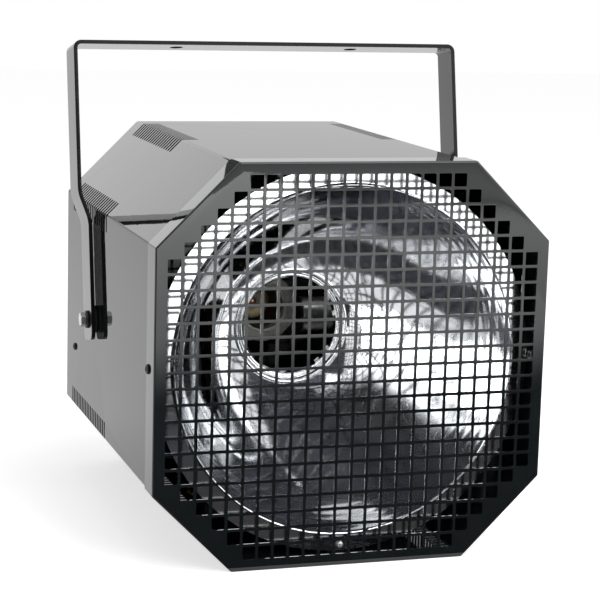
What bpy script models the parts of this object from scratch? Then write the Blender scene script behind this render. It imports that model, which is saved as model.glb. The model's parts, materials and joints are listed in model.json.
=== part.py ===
"""Blacklight spotlight: an eight-sided sheet-steel flood with a punched front cover and a tilting yoke.

The lamp axis runs along Y and the front faces -Y. X is the width and Z is up. The origin is at the
bottom centre of the whole part. A depth is measured back from the cover's face.
"""
import math

import bmesh
import bpy
from mathutils import Matrix, Vector

# Sheet metal box
COVER_WIDTH = 0.380
CORNER_LEG = 0.076
SHEET = 0.0012
HOUSING_DEPTH = 0.422
COVER_FLANGE = 0.030
COVER_CLEARANCE = 0.0004
GAP = 0.0003

# Square holes punched in the cover
HOLE_COUNT = 24
HOLE_PITCH = 0.015
HOLE_SIZE = 0.012
HOLE_CORNER_STEPS = 5

# Cooling slots cut across the eight bends
SLOT_COUNT = 20
SLOT_PITCH = 0.0088
SLOT_WIDTH = 0.0045
SLOT_REACH = 0.017
SLOT_FROM_REAR = 0.0323
SLOT_TOOL_DEPTH = 0.012

# Cover screws and the nuts behind them
COVER_SCREW_DEPTH = 0.022
COVER_SCREW = 0.0048
COVER_SCREW_HEAD = 0.0095
COVER_SCREW_HEAD_HEIGHT = 0.0024
COVER_SCREW_LENGTH = 0.0068
SCREW_RECESS = 0.0011
SCREW_RECESS_DEPTH = 0.0012
COVER_NUT = 0.008
COVER_NUT_THICKNESS = 0.0027

# Rear panel
REAR_RECESS = 0.001
REAR_FLANGE = 0.018

# Spun reflector
REFLECTOR_WALL = 0.0008
REFLECTOR_RIM = 0.1845
REFLECTOR_RING_INNER = 0.174
REFLECTOR_RING_DEPTH = 0.028
REFLECTOR_MOUTH = 0.1655
REFLECTOR_MOUTH_DEPTH = 0.0205
REFLECTOR_NECK = 0.048
REFLECTOR_NECK_LENGTH = 0.0095
NECK_BEAD_OUTER = 0.060
NECK_BEAD_DEPTH = 0.2015
NECK_BEADS = 2
NECK_BEAD_HEIGHT = 0.003
BEAD_STEPS = 3
BOWL_SWELL = 0.38
BOWL_STEPS = 7
REFLECTOR_SEGMENTS = 36

# Brackets that carry the reflector at top and bottom
BRACKET_WIDTH = 0.024
BRACKET_SHEET = 0.0015
BRACKET_FOOT = 0.020
BRACKET_REACH = 0.012
RIM_SCREW_LENGTH = 0.008
SMALL_NUT = 0.007
SMALL_NUT_THICKNESS = 0.003

# Lampholder
HOLDER_RADIUS = 0.0365
HOLDER_LENGTH = 0.060
HOLDER_BORE = 0.0225
HOLDER_BORE_LENGTH = 0.0478
HOLDER_EDGE = 0.003
THREAD_RADIUS = 0.0202
THREAD_HEIGHT = 0.0011
THREAD_PITCH = 0.00635
THREAD_RIDGES = 6
THREAD_WALL = 0.0005
CONTACT_RADIUS = 0.004
CONTACT_LENGTH = 0.018
CONTACT_STICKS_OUT = 0.0078
CONTACT_EDGE = 0.0015
HOLDER_SCREW_SPACING = 0.052

# Gear shelf across the housing, in front of the rear panel's flange
SHELF_DROP = 0.040
SHELF_REAR_GAP = 0.003
SHELF_WIDTH = 0.064
SHELF_SHEET = 0.0015
SHELF_FLANGE = 0.020
SHELF_SCREW_BACK = 0.008
SHELF_SCREW_DROP = 0.010
HOLDER_BRACKET_SHEET = 0.002
HOLDER_BRACKET_WIDTH = 0.064
HOLDER_BRACKET_TOP = 0.030
HOLDER_BRACKET_FOOT = 0.028
HOLDER_BRACKET_SET_BACK = 0.0273
FOOT_SCREW_INSET = 0.012
FOOT_SCREW_BACK = 0.017
FOOT_SCREW_LENGTH = 0.007
HOLDER_SCREW_LENGTH = 0.010
SHELF_SCREW_LENGTH = 0.008
SMALL_SCREW = 0.0038
SMALL_SCREW_HEAD = 0.0078
SMALL_SCREW_HEAD_HEIGHT = 0.0021

# Shape of a pan head, as shares of its width and height
PAN_CROWN_RADIUS = 0.36
PAN_CROWN_HEIGHT = 0.86
PAN_EDGE_HEIGHT = 0.4
PAN_RECESS_ARM = 0.28

# Ballast on the rear panel
BALLAST_X = 0.045
BALLAST_Z = 0.046
BALLAST_CORE_LENGTH = 0.096
BALLAST_CORE_DEPTH = 0.0537
BALLAST_CORE_HEIGHT = 0.064
BALLAST_COIL_LENGTH = 0.140
BALLAST_COIL_DEPTH = 0.030
BALLAST_COIL_HEIGHT = 0.036
BALLAST_PLATE_MARGIN = 0.009
BALLAST_PLATE = 0.002
BALLAST_BOLT_SPACING = 0.132
BALLAST_COIL_EDGE = 0.006
REAR_BOLT = 0.0048
REAR_BOLT_HEX = 0.008
REAR_BOLT_HEAD = 0.0035
REAR_BOLT_LENGTH = 0.010
EARTH_BOLT_LENGTH = 0.015

# Capacitor, its clip and the terminal block on the shelf
CAPACITOR_RADIUS = 0.020
CAPACITOR_LENGTH = 0.090
CAPACITOR_X = 0.102
CAPACITOR_FORWARD = 0.007
CAPACITOR_EDGE = 0.002
CLIP_WIDTH = 0.016
CLIP_SHEET = 0.001
CLIP_FOOT = 0.011
CLIP_STEPS = 8
TERMINAL_X = -0.090
TERMINAL_LENGTH = 0.050
TERMINAL_DEPTH = 0.022
TERMINAL_HEIGHT = 0.020
TERMINAL_POLES = 3
TERMINAL_WELL = 0.005
TERMINAL_WELL_DEPTH = 0.006

# Cable gland and earth bolt in the rear panel
GLAND_X = -0.122
GLAND_Z = 0.060
GLAND_THREAD = 0.0195
GLAND_BORE = 0.010
GLAND_HEX = 0.024
GLAND_NECK = 0.017
GLAND_HEX_HEIGHT = 0.005
GLAND_NECK_HEIGHT = 0.009
GLAND_INWARD = 0.010
GLAND_LOCKNUT = 0.005
GLAND_DOME = 0.004
GLAND_MOUTH_WALL = 0.002
EARTH_X = -0.048
EARTH_Z = 0.046
HOLE_CLEARANCE = 0.0006

# Tilting yoke, with heights measured along the arm from its pivot
PIVOT_DEPTH = 0.269
YOKE_REST_TILT = 11.1
YOKE_THICKNESS = 0.004
YOKE_WIDTH = 0.040
YOKE_HEIGHT = 0.283
YOKE_ARM_HALF = 0.1967
YOKE_BAR_HALF = 0.2066
JOGGLE_START = 0.100
JOGGLE_END = 0.128
ARM_END = 0.021
ARM_CORNER = 0.009
ARM_CORNER_STEPS = 3
BAR_BEND = 0.008
BAR_BEND_STEPS = 5
BAR_HOLE = 0.0135
BAR_HOLE_SPACING = 0.190

# Pivot bolts
PIVOT_BOLT = 0.0078
PIVOT_HEX = 0.013
PIVOT_HEAD = 0.0053
PIVOT_WASHER = 0.018
PIVOT_WASHER_THICKNESS = 0.002
PIVOT_SPACER = 0.028
PIVOT_NUT_THICKNESS = 0.0065
PIVOT_BOLT_TIP = 0.0015

# Inside leads
LEAD_RADIUS = 0.0013
LEAD_STEPS = 2
LEAD_SPACING = 0.012
LEAD_EXIT = 0.010
LEAD_ENTRY = 0.022

# Sizes that follow from the ones above
HOUSING_HALF = COVER_WIDTH / 2 - SHEET - COVER_CLEARANCE
CENTRE_Z = COVER_WIDTH / 2
OCTAGON_INSET = 2 - math.sqrt(2)
HOUSING_LEG = CORNER_LEG - (COVER_WIDTH / 2 - HOUSING_HALF) * OCTAGON_INSET
HOUSING_INNER = HOUSING_HALF - SHEET
HOUSING_INNER_LEG = HOUSING_LEG - SHEET * OCTAGON_INSET
REAR_OUTER = HOUSING_DEPTH - REAR_RECESS
REAR_INNER = REAR_OUTER - SHEET
GLAND_REACH = GAP + GLAND_HEX_HEIGHT + GLAND_NECK_HEIGHT + GAP + GLAND_DOME
FRONT_Y = -(REAR_OUTER + GLAND_REACH) / 2
SLOT_START = HOUSING_DEPTH - SLOT_FROM_REAR - SLOT_WIDTH - (SLOT_COUNT - 1) * SLOT_PITCH
REFLECTOR_NECK_DEPTH = NECK_BEAD_DEPTH + REFLECTOR_NECK_LENGTH
SHELF_TOP = CENTRE_Z - SHELF_DROP
SHELF_DEPTH = REAR_OUTER - REAR_FLANGE - SHELF_REAR_GAP - SHELF_WIDTH / 2
SHELF_SCREW_DEPTH = SHELF_DEPTH + SHELF_SCREW_BACK
CAPACITOR_DEPTH = SHELF_DEPTH - CAPACITOR_FORWARD
BRACKET_DEPTH = SHELF_DEPTH - SHELF_WIDTH / 2 + HOLDER_BRACKET_SET_BACK
HOLDER_DEPTH = BRACKET_DEPTH - GAP - HOLDER_LENGTH
CLIP_RADIUS = (CAPACITOR_RADIUS + GAP + CLIP_SHEET) / math.cos(math.pi / (2 * CLIP_STEPS))
BALLAST_PLATE_LENGTH = BALLAST_BOLT_SPACING + 2 * BALLAST_PLATE_MARGIN
PARTS_NAME = "blacklight_spotlight"


def depth_to_y(depth):
    return FRONT_Y + depth


def new_collection(name):
    made = bpy.data.collections.new(name)
    bpy.context.scene.collection.children.link(made)
    return made


for old in list(bpy.data.objects):
    bpy.data.objects.remove(old, do_unlink=True)
parts = new_collection(PARTS_NAME)
cutters = new_collection("cutters")


def material(name, colour, roughness, metallic):
    made = bpy.data.materials.new(name)
    made.use_nodes = True
    shader = made.node_tree.nodes["Principled BSDF"]
    shader.inputs["Base Color"].default_value = (*colour, 1.0)
    shader.inputs["Roughness"].default_value = roughness
    shader.inputs["Metallic"].default_value = metallic
    return made


def place(made, location, facing):
    made.location = location
    made.rotation_mode = "QUATERNION"
    made.rotation_quaternion = Vector(facing).to_track_quat("Z", "Y")


def add_part(name, mesh, finish, parent=None):
    made = bpy.data.objects.new(name, mesh)
    parts.objects.link(made)
    mesh.materials.append(material(name, *finish))
    made.parent = parent
    return made


def mesh_from(bm, name):
    mesh = bpy.data.meshes.new(name)
    bm.to_mesh(mesh)
    bm.free()
    return mesh


def add_cutter(name, bm, target, parent=None, operation="DIFFERENCE"):
    made = bpy.data.objects.new(name, mesh_from(bm, name))
    cutters.objects.link(made)
    made.hide_render = True
    made.display_type = "WIRE"
    made.parent = parent
    change = target.modifiers.new(name, "BOOLEAN")
    change.operation = operation
    change.solver = "EXACT"
    change.object = made
    return made


def add_box(bm, low, high):
    size = Vector(high) - Vector(low)
    middle = (Vector(high) + Vector(low)) / 2
    shape = Matrix.Translation(middle) @ Matrix.Diagonal((*size, 1.0))
    bmesh.ops.create_cube(bm, size=1.0, matrix=shape)


def add_cylinder(bm, radius, start, end, segments=12):
    along = Vector(end) - Vector(start)
    middle = (Vector(end) + Vector(start)) / 2
    turn = along.to_track_quat("Z", "Y").to_matrix().to_4x4()
    shape = Matrix.Translation(middle) @ turn
    bmesh.ops.create_cone(bm, cap_ends=True, segments=segments, radius1=radius, radius2=radius,
                          depth=along.length, matrix=shape)


def smooth_round(mesh, angle=40):
    mesh.shade_smooth()
    mesh.set_sharp_from_angle(angle=math.radians(angle))


def turned(name, profile, finish, segments=24, closed=False, parent=None):
    """Turn a profile of (radius, height) points about local Z, facing out. A closed one makes a ring."""
    points = list(profile)
    outline = points if closed else points + [(0, points[-1][1]), (0, points[0][1])]
    area = sum(a[0] * b[1] - b[0] * a[1] for a, b in zip(outline, outline[1:] + outline[:1]))
    if area > 0:
        points.reverse()
    bm = bmesh.new()
    verts = [bm.verts.new((radius, 0, height)) for radius, height in points]
    pairs = list(zip(verts, verts[1:]))
    if closed:
        pairs.append((verts[-1], verts[0]))
    for first, second in pairs:
        bm.edges.new((first, second))
    made = add_part(name, mesh_from(bm, name), finish, parent)
    screw = made.modifiers.new("turn", "SCREW")
    screw.steps = segments
    screw.render_steps = segments
    screw.use_merge_vertices = True
    screw.merge_threshold = 0.00001
    screw.use_smooth_shade = False
    return made


def octagon(half, leg):
    flat = half - leg
    return [(-flat, -half), (flat, -half), (half, -flat), (half, flat),
            (flat, half), (-flat, half), (-half, flat), (-half, -flat)]


def add_loop(bm, points, y=0.0):
    verts = [bm.verts.new((x, y, z)) for x, z in points]
    return [bm.edges.new((a, b)) for a, b in zip(verts, verts[1:] + verts[:1])]


def circle_points(x, z, radius, segments=12):
    step = 2 * math.pi / segments
    return [(x + radius * math.cos(step * i), z + radius * math.sin(step * i)) for i in range(segments)]


def move_out(bm, edges, vec):
    """Pull the open edges out into a wall and return its far vertices."""
    pulled = bmesh.ops.extrude_edge_only(bm, edges=edges)["geom"]
    verts = [item for item in pulled if isinstance(item, bmesh.types.BMVert)]
    bmesh.ops.translate(bm, verts=verts, vec=vec)
    return verts


def face_outwards(bm, inside):
    bmesh.ops.recalc_face_normals(bm, faces=bm.faces)
    first = max(bm.faces, key=lambda face: face.calc_area())
    if (first.calc_center_median() - Vector(inside)).dot(first.normal) < 0:
        bmesh.ops.reverse_faces(bm, faces=bm.faces)


def add_wall(made, thickness, exact_corners=False):
    wall = made.modifiers.new("sheet", "SOLIDIFY")
    wall.thickness = thickness
    wall.offset = -1.0
    wall.use_even_offset = True
    if exact_corners:
        wall.solidify_mode = "NON_MANIFOLD"
        wall.nonmanifold_thickness_mode = "CONSTRAINTS"
        wall.nonmanifold_merge_threshold = 0.00001
    return wall


def sheet_tray(name, half, leg, flange, holes, finish, parent=None):
    """Eight-sided panel with holes and one turned flange. The plate is at local y 0."""
    bm = bmesh.new()
    rim = add_loop(bm, octagon(half, leg))
    for hole in holes:
        add_loop(bm, hole)
    bmesh.ops.triangle_fill(bm, use_beauty=True, edges=bm.edges[:])
    move_out(bm, rim, (0, flange, 0))
    face_outwards(bm, (0, flange / 2, 0))
    made = add_part(name, mesh_from(bm, name), finish, parent)
    add_wall(made, SHEET, exact_corners=True)
    return made


def bent_strip(name, outline, width, thickness, finish, inside, parent=None, corner=0.0, along=(0, 1, 0)):
    """Flat bar bent along an outline. Corner rounds the four corners of its two ends."""
    bm = bmesh.new()
    verts = [bm.verts.new(point) for point in outline]
    edges = [bm.edges.new(pair) for pair in zip(verts, verts[1:])]
    side = Vector(along).normalized() * width
    far = move_out(bm, edges, side)
    if corner > 0:
        tips = [outline[0], outline[-1]]
        ends = [v for v in verts + far for tip in tips
                if min((v.co - Vector(tip)).length, (v.co - Vector(tip) - side).length) < GAP]
        bmesh.ops.bevel(bm, geom=ends, offset=corner, segments=ARM_CORNER_STEPS, profile=0.5,
                        affect="VERTICES")
    bmesh.ops.translate(bm, verts=bm.verts, vec=-side / 2)
    face_outwards(bm, inside)
    made = add_part(name, mesh_from(bm, name), finish, parent)
    add_wall(made, thickness)
    return made


def hex_prism(name, across_flats, low, high, finish, parent=None):
    bm = bmesh.new()
    radius = across_flats / math.sqrt(3)
    add_cylinder(bm, radius, (0, 0, low), (0, 0, high), segments=6)
    return add_part(name, mesh_from(bm, name), finish, parent)


def hex_bolt(name, across_flats, head, shank, length, finish, parent=None):
    """Bolt with its head above local z 0 and its shank below."""
    made = hex_prism(name, across_flats, 0, head, finish, parent)
    bm = bmesh.new()
    add_cylinder(bm, shank / 2, (0, 0, -length), (0, 0, head / 2))
    tool = add_cutter(name + "_shank", bm, made, parent, "UNION")
    return made, tool


def hex_nut(name, across_flats, thickness, bore, finish, parent=None, segments=12):
    made = hex_prism(name, across_flats, 0, thickness, finish, parent)
    bm = bmesh.new()
    add_cylinder(bm, bore / 2, (0, 0, -thickness), (0, 0, 2 * thickness), segments)
    tool = add_cutter(name + "_bore", bm, made, parent)
    return made, tool


def place_pair(pair, location, facing):
    for made in pair:
        place(made, location, facing)


def pan_screw(name, shank, head, head_height, length, finish, recessed=False, parent=None):
    """Pan-head screw with its head above local z 0, with a cross recess where it shows."""
    profile = [(0, head_height), (head * PAN_CROWN_RADIUS, head_height * PAN_CROWN_HEIGHT),
               (head / 2, head_height * PAN_EDGE_HEIGHT), (head / 2, 0), (shank / 2, 0),
               (shank / 2, -length), (0, -length)]
    made = turned(name, profile, finish, 12 if recessed else 10, parent=parent)
    if not recessed:
        return made, None
    bm = bmesh.new()
    arm = head * PAN_RECESS_ARM
    half = SCREW_RECESS / 2
    plus = [(-arm, -half), (-half, -half), (-half, -arm), (half, -arm), (half, -half), (arm, -half),
            (arm, half), (half, half), (half, arm), (-half, arm), (-half, half), (-arm, half)]
    base = bm.faces.new([bm.verts.new((x, y, head_height - SCREW_RECESS_DEPTH)) for x, y in plus])
    top = bmesh.ops.extrude_face_region(bm, geom=[base])["geom"]
    lifted = [item for item in top if isinstance(item, bmesh.types.BMVert)]
    bmesh.ops.translate(bm, verts=lifted, vec=(0, 0, head_height))
    bmesh.ops.recalc_face_normals(bm, faces=bm.faces)
    return made, add_cutter(name + "_recess", bm, made, parent)


def place_screw(pair, location, facing):
    for made in pair:
        if made:
            place(made, location, facing)


def add_empty(name, location, rotation=(0, 0, 0)):
    made = bpy.data.objects.new(name, None)
    parts.objects.link(made)
    made.empty_display_size = 0.03
    made.location = location
    made.rotation_euler = rotation
    return made


GLOSS_BLACK = ((0.012, 0.013, 0.014), 0.12, 0.0)
YOKE_BLACK = ((0.012, 0.012, 0.013), 0.18, 0.0)
SCREW_BLACK = ((0.015, 0.015, 0.016), 0.35, 0.6)
ZINC = ((0.62, 0.63, 0.62), 0.32, 1.0)
MIRROR = ((0.90, 0.91, 0.92), 0.10, 1.0)
PORCELAIN = ((0.72, 0.70, 0.66), 0.30, 0.0)
BRASS = ((0.78, 0.62, 0.32), 0.28, 1.0)
COPPER = ((0.80, 0.45, 0.28), 0.30, 1.0)
RUBBER = ((0.02, 0.02, 0.02), 0.75, 0.0)
NYLON = ((0.025, 0.025, 0.027), 0.45, 0.0)
IRON = ((0.12, 0.12, 0.13), 0.55, 0.8)
VARNISHED_COIL = ((0.35, 0.16, 0.05), 0.40, 0.0)
CAN = ((0.75, 0.76, 0.77), 0.35, 1.0)
SILICONE = ((0.55, 0.07, 0.05), 0.45, 0.0)

SIDES = {"left": -1, "right": 1}
ENDS = {"top": 1, "bottom": -1}


def build_housing():
    """Rolled eight-sided shell, open at both ends."""
    bm = bmesh.new()
    front = SHEET + COVER_CLEARANCE
    edges = add_loop(bm, octagon(HOUSING_HALF, HOUSING_LEG), depth_to_y(front))
    move_out(bm, edges, (0, HOUSING_DEPTH - front, 0))
    bmesh.ops.translate(bm, verts=bm.verts, vec=(0, 0, CENTRE_Z))
    face_outwards(bm, (0, 0, CENTRE_Z))
    made = add_part("housing_shell", mesh_from(bm, "housing_shell"), GLOSS_BLACK)
    add_wall(made, SHEET)

    bm = bmesh.new()
    corners = octagon(HOUSING_HALF, HOUSING_LEG)
    for index, corner in enumerate(corners):
        here = Vector(corner)
        before = (here - Vector(corners[index - 1])).normalized()
        after = (Vector(corners[(index + 1) % len(corners)]) - here).normalized()
        tangent = (before + after).normalized()
        outward = Vector((tangent.y, -tangent.x))
        middle = here - outward * (SLOT_TOOL_DEPTH / 2 - SHEET)
        turn = math.atan2(outward.x, outward.y)
        width = 2 * SLOT_REACH * math.cos(math.pi / 8)
        for slot in range(SLOT_COUNT):
            depth = SLOT_START + SLOT_WIDTH / 2 + slot * SLOT_PITCH
            centre = (middle.x, depth_to_y(depth), middle.y + CENTRE_Z)
            shape = (Matrix.Translation(centre) @ Matrix.Rotation(turn, 4, "Y")
                     @ Matrix.Diagonal((width, SLOT_WIDTH, SLOT_TOOL_DEPTH, 1.0)))
            bmesh.ops.create_cube(bm, size=1.0, matrix=shape)
    notch = (COVER_SCREW + HOLE_CLEARANCE * 2) / 2
    notch_end = depth_to_y(COVER_SCREW_DEPTH + notch)
    for side in SIDES.values():
        middle = side * HOUSING_HALF
        add_box(bm, (middle - 3 * SHEET, FRONT_Y - SHEET, CENTRE_Z - notch),
                (middle + 3 * SHEET, notch_end, CENTRE_Z + notch))
        inner = side * (HOUSING_INNER - SHEET)
        outer = side * (HOUSING_HALF + SHEET)
        hole = (PIVOT_BOLT + HOLE_CLEARANCE) / 2
        y = depth_to_y(PIVOT_DEPTH)
        add_cylinder(bm, hole, (inner, y, CENTRE_Z), (outer, y, CENTRE_Z))
        hole = (SMALL_SCREW + HOLE_CLEARANCE) / 2
        y = depth_to_y(SHELF_SCREW_DEPTH)
        z = SHELF_TOP - SHELF_SCREW_DROP
        add_cylinder(bm, hole, (inner, y, z), (outer, y, z))
    add_cutter("housing_cuts", bm, made)


def grille_holes():
    """Rows of square holes, stepped in at the four cut corners."""
    holes = []
    margin = (HOLE_PITCH - HOLE_SIZE) / 2
    for row in range(HOLE_COUNT):
        from_edge = min(row, HOLE_COUNT - 1 - row)
        skip = max(HOLE_CORNER_STEPS - from_edge, 0)
        z = (row - HOLE_COUNT / 2) * HOLE_PITCH + margin
        for column in range(skip, HOLE_COUNT - skip):
            x = (column - HOLE_COUNT / 2) * HOLE_PITCH + margin
            holes.append([(x, z), (x + HOLE_SIZE, z), (x + HOLE_SIZE, z + HOLE_SIZE), (x, z + HOLE_SIZE)])
    return holes


def build_front_cover():
    """Lift-off cover with its screws and nuts, all carried by one empty on its slide."""
    slide = add_empty("front_cover_slide", (0, FRONT_Y, CENTRE_Z))
    cover = sheet_tray("front_cover", COVER_WIDTH / 2, CORNER_LEG, COVER_FLANGE, grille_holes(),
                       GLOSS_BLACK, slide)
    bm = bmesh.new()
    hole = (COVER_SCREW + HOLE_CLEARANCE) / 2
    for side in SIDES.values():
        outer = side * (COVER_WIDTH / 2 + SHEET)
        inner = side * (COVER_WIDTH / 2 - SHEET * 2)
        add_cylinder(bm, hole, (inner, COVER_SCREW_DEPTH, 0), (outer, COVER_SCREW_DEPTH, 0))
    add_cutter("front_cover_cuts", bm, cover, slide)
    for side_name, side in SIDES.items():
        facing = (side, 0, 0)
        seat = side * (COVER_WIDTH / 2 + GAP)
        screw = pan_screw("cover_screw_" + side_name, COVER_SCREW, COVER_SCREW_HEAD, COVER_SCREW_HEAD_HEIGHT,
                          COVER_SCREW_LENGTH, SCREW_BLACK, True, slide)
        place_screw(screw, (seat, COVER_SCREW_DEPTH, 0), facing)
        bm = bmesh.new()
        half = COVER_NUT / 2
        add_box(bm, (-half, -half, -COVER_NUT_THICKNESS), (half, half, 0))
        nut = add_part("cover_nut_" + side_name, mesh_from(bm, "cover_nut"), ZINC, slide)
        bm = bmesh.new()
        bore = (COVER_SCREW + HOLE_CLEARANCE) / 2
        add_cylinder(bm, bore, (0, 0, -2 * COVER_NUT_THICKNESS), (0, 0, COVER_NUT_THICKNESS))
        tool = add_cutter("cover_nut_bore_" + side_name, bm, nut, slide)
        place_pair((nut, tool), (side * (HOUSING_INNER - GAP), COVER_SCREW_DEPTH, 0), facing)


def build_rear_panel():
    """Flanged rear panel with the holes for what is fixed to it."""
    bolt = (REAR_BOLT + HOLE_CLEARANCE) / 2
    holes = [circle_points(-GLAND_X, GLAND_Z - CENTRE_Z, (GLAND_THREAD + HOLE_CLEARANCE) / 2, 20),
             circle_points(-EARTH_X, EARTH_Z - CENTRE_Z, bolt)]
    for side in SIDES.values():
        x = BALLAST_X + side * BALLAST_BOLT_SPACING / 2
        holes.append(circle_points(-x, BALLAST_Z - CENTRE_Z, bolt))
    half = HOUSING_INNER - GAP
    leg = HOUSING_INNER_LEG - GAP * OCTAGON_INSET
    made = sheet_tray("rear_panel", half, leg, REAR_FLANGE, holes, GLOSS_BLACK)
    made.location = (0, depth_to_y(REAR_OUTER), CENTRE_Z)
    made.rotation_euler = (0, 0, math.pi)


def bowl_depth(radius):
    """Depth of the curve through the mouth and the neck bead: a parabola, swelled between the two."""
    share = (REFLECTOR_MOUTH ** 2 - radius ** 2) / (REFLECTOR_MOUTH ** 2 - NECK_BEAD_OUTER ** 2)
    share += BOWL_SWELL * share * (1 - share)
    return REFLECTOR_MOUTH_DEPTH + share * (NECK_BEAD_DEPTH - REFLECTOR_MOUTH_DEPTH)


def reflector_profile():
    points = [(REFLECTOR_RIM, REFLECTOR_RING_DEPTH), (REFLECTOR_RING_INNER, REFLECTOR_RING_DEPTH)]
    for step in range(BOWL_STEPS + 1):
        radius = REFLECTOR_MOUTH + (NECK_BEAD_OUTER - REFLECTOR_MOUTH) * step / BOWL_STEPS
        points.append((radius, bowl_depth(radius)))
    bead_points = BEAD_STEPS * NECK_BEADS
    for step in range(1, bead_points + 1):
        share = step / bead_points
        radius = NECK_BEAD_OUTER + (REFLECTOR_NECK - NECK_BEAD_OUTER) * share
        rise = NECK_BEAD_HEIGHT * abs(math.sin(math.pi * NECK_BEADS * share))
        points.append((radius, NECK_BEAD_DEPTH + (REFLECTOR_NECK_DEPTH - NECK_BEAD_DEPTH) * share - rise))
    return points


def build_reflector():
    """Spun mirror bowl, screwed through its rim to a bracket on the top and bottom panels."""
    points = [(radius, -depth) for radius, depth in reflector_profile()]
    made = turned("reflector", points, MIRROR, REFLECTOR_SEGMENTS)
    place(made, (0, FRONT_Y, CENTRE_Z), (0, -1, 0))
    add_wall(made, REFLECTOR_WALL).offset = 1.0
    screw_radius = (REFLECTOR_RIM + REFLECTOR_RING_INNER) / 2
    ring_y = depth_to_y(REFLECTOR_RING_DEPTH)
    bracket_y = ring_y + REFLECTOR_WALL + GAP
    hole = (SMALL_SCREW + HOLE_CLEARANCE) / 2
    rim_cuts = bmesh.new()
    for end_name, end in ENDS.items():
        foot_z = CENTRE_Z + end * (HOUSING_INNER - GAP)
        outline = [(0, bracket_y, foot_z - end * BRACKET_REACH), (0, bracket_y, foot_z),
                   (0, bracket_y + BRACKET_FOOT, foot_z)]
        inside = (0, bracket_y + BRACKET_FOOT, CENTRE_Z)
        bracket = bent_strip("reflector_bracket_" + end_name, outline, BRACKET_WIDTH, BRACKET_SHEET,
                             GLOSS_BLACK, inside, along=(1, 0, 0))
        z = CENTRE_Z + end * screw_radius
        ends = ((0, ring_y - RIM_SCREW_LENGTH, z), (0, ring_y + RIM_SCREW_LENGTH, z))
        add_cylinder(rim_cuts, hole, *ends)
        bracket_cuts = bmesh.new()
        add_cylinder(bracket_cuts, hole, *ends)
        add_cutter("rim_screw_hole_" + end_name, bracket_cuts, bracket)
        screw = pan_screw("reflector_screw_" + end_name, SMALL_SCREW, SMALL_SCREW_HEAD,
                          SMALL_SCREW_HEAD_HEIGHT, RIM_SCREW_LENGTH, ZINC)
        place_screw(screw, (0, ring_y - GAP, z), (0, -1, 0))
        nut = hex_nut("reflector_nut_" + end_name, SMALL_NUT, SMALL_NUT_THICKNESS,
                      SMALL_SCREW + HOLE_CLEARANCE, ZINC)
        place_pair(nut, (0, bracket_y + BRACKET_SHEET + GAP, z), (0, 1, 0))
    add_cutter("reflector_holes", rim_cuts, made)


def build_lampholder():
    """Porcelain holder with its screw shell and sprung centre contact, looking forward."""
    rear = HOLDER_DEPTH + HOLDER_LENGTH
    floor = HOLDER_LENGTH - HOLDER_BORE_LENGTH
    contact_hole = CONTACT_RADIUS + GAP
    profile = [(HOLDER_BORE, HOLDER_LENGTH), (HOLDER_RADIUS - HOLDER_EDGE, HOLDER_LENGTH),
               (HOLDER_RADIUS, HOLDER_LENGTH - HOLDER_EDGE), (HOLDER_RADIUS, HOLDER_EDGE),
               (HOLDER_RADIUS - HOLDER_EDGE, 0), (contact_hole, 0), (contact_hole, floor),
               (HOLDER_BORE, floor)]
    body = turned("lampholder_body", profile, PORCELAIN, 24, closed=True)
    place(body, (0, depth_to_y(rear), CENTRE_Z), (0, -1, 0))
    bm = bmesh.new()
    hole = (SMALL_SCREW + HOLE_CLEARANCE) / 2
    for side in SIDES.values():
        x = side * HOLDER_SCREW_SPACING / 2
        add_cylinder(bm, hole, (x, depth_to_y(rear - floor), CENTRE_Z),
                     (x, depth_to_y(rear + floor), CENTRE_Z))
    add_cutter("holder_screw_holes", bm, body)

    shell_floor = floor + GAP
    points = []
    for step in range(THREAD_RIDGES * 2 + 1):
        height = HOLDER_LENGTH - GAP - THREAD_PITCH * step / 2
        points.append((THREAD_RADIUS + THREAD_HEIGHT / 2 * math.cos(math.pi * step), height))
    points.append((THREAD_RADIUS, shell_floor + THREAD_WALL))
    points.append((contact_hole * 2, shell_floor + THREAD_WALL))
    shell = turned("lampholder_shell", points, BRASS, 16)
    place(shell, (0, depth_to_y(rear), CENTRE_Z), (0, -1, 0))
    add_wall(shell, THREAD_WALL).offset = 1.0

    contact_slide = add_empty("centre_contact_slide", (0, depth_to_y(rear), CENTRE_Z))
    top = floor + CONTACT_STICKS_OUT
    profile = [(0, top), (CONTACT_RADIUS - CONTACT_EDGE, top), (CONTACT_RADIUS, top - CONTACT_EDGE),
               (CONTACT_RADIUS, top - CONTACT_LENGTH), (0, top - CONTACT_LENGTH)]
    contact = turned("centre_contact", profile, COPPER, 12, parent=contact_slide)
    place(contact, (0, 0, 0), (0, -1, 0))


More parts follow.
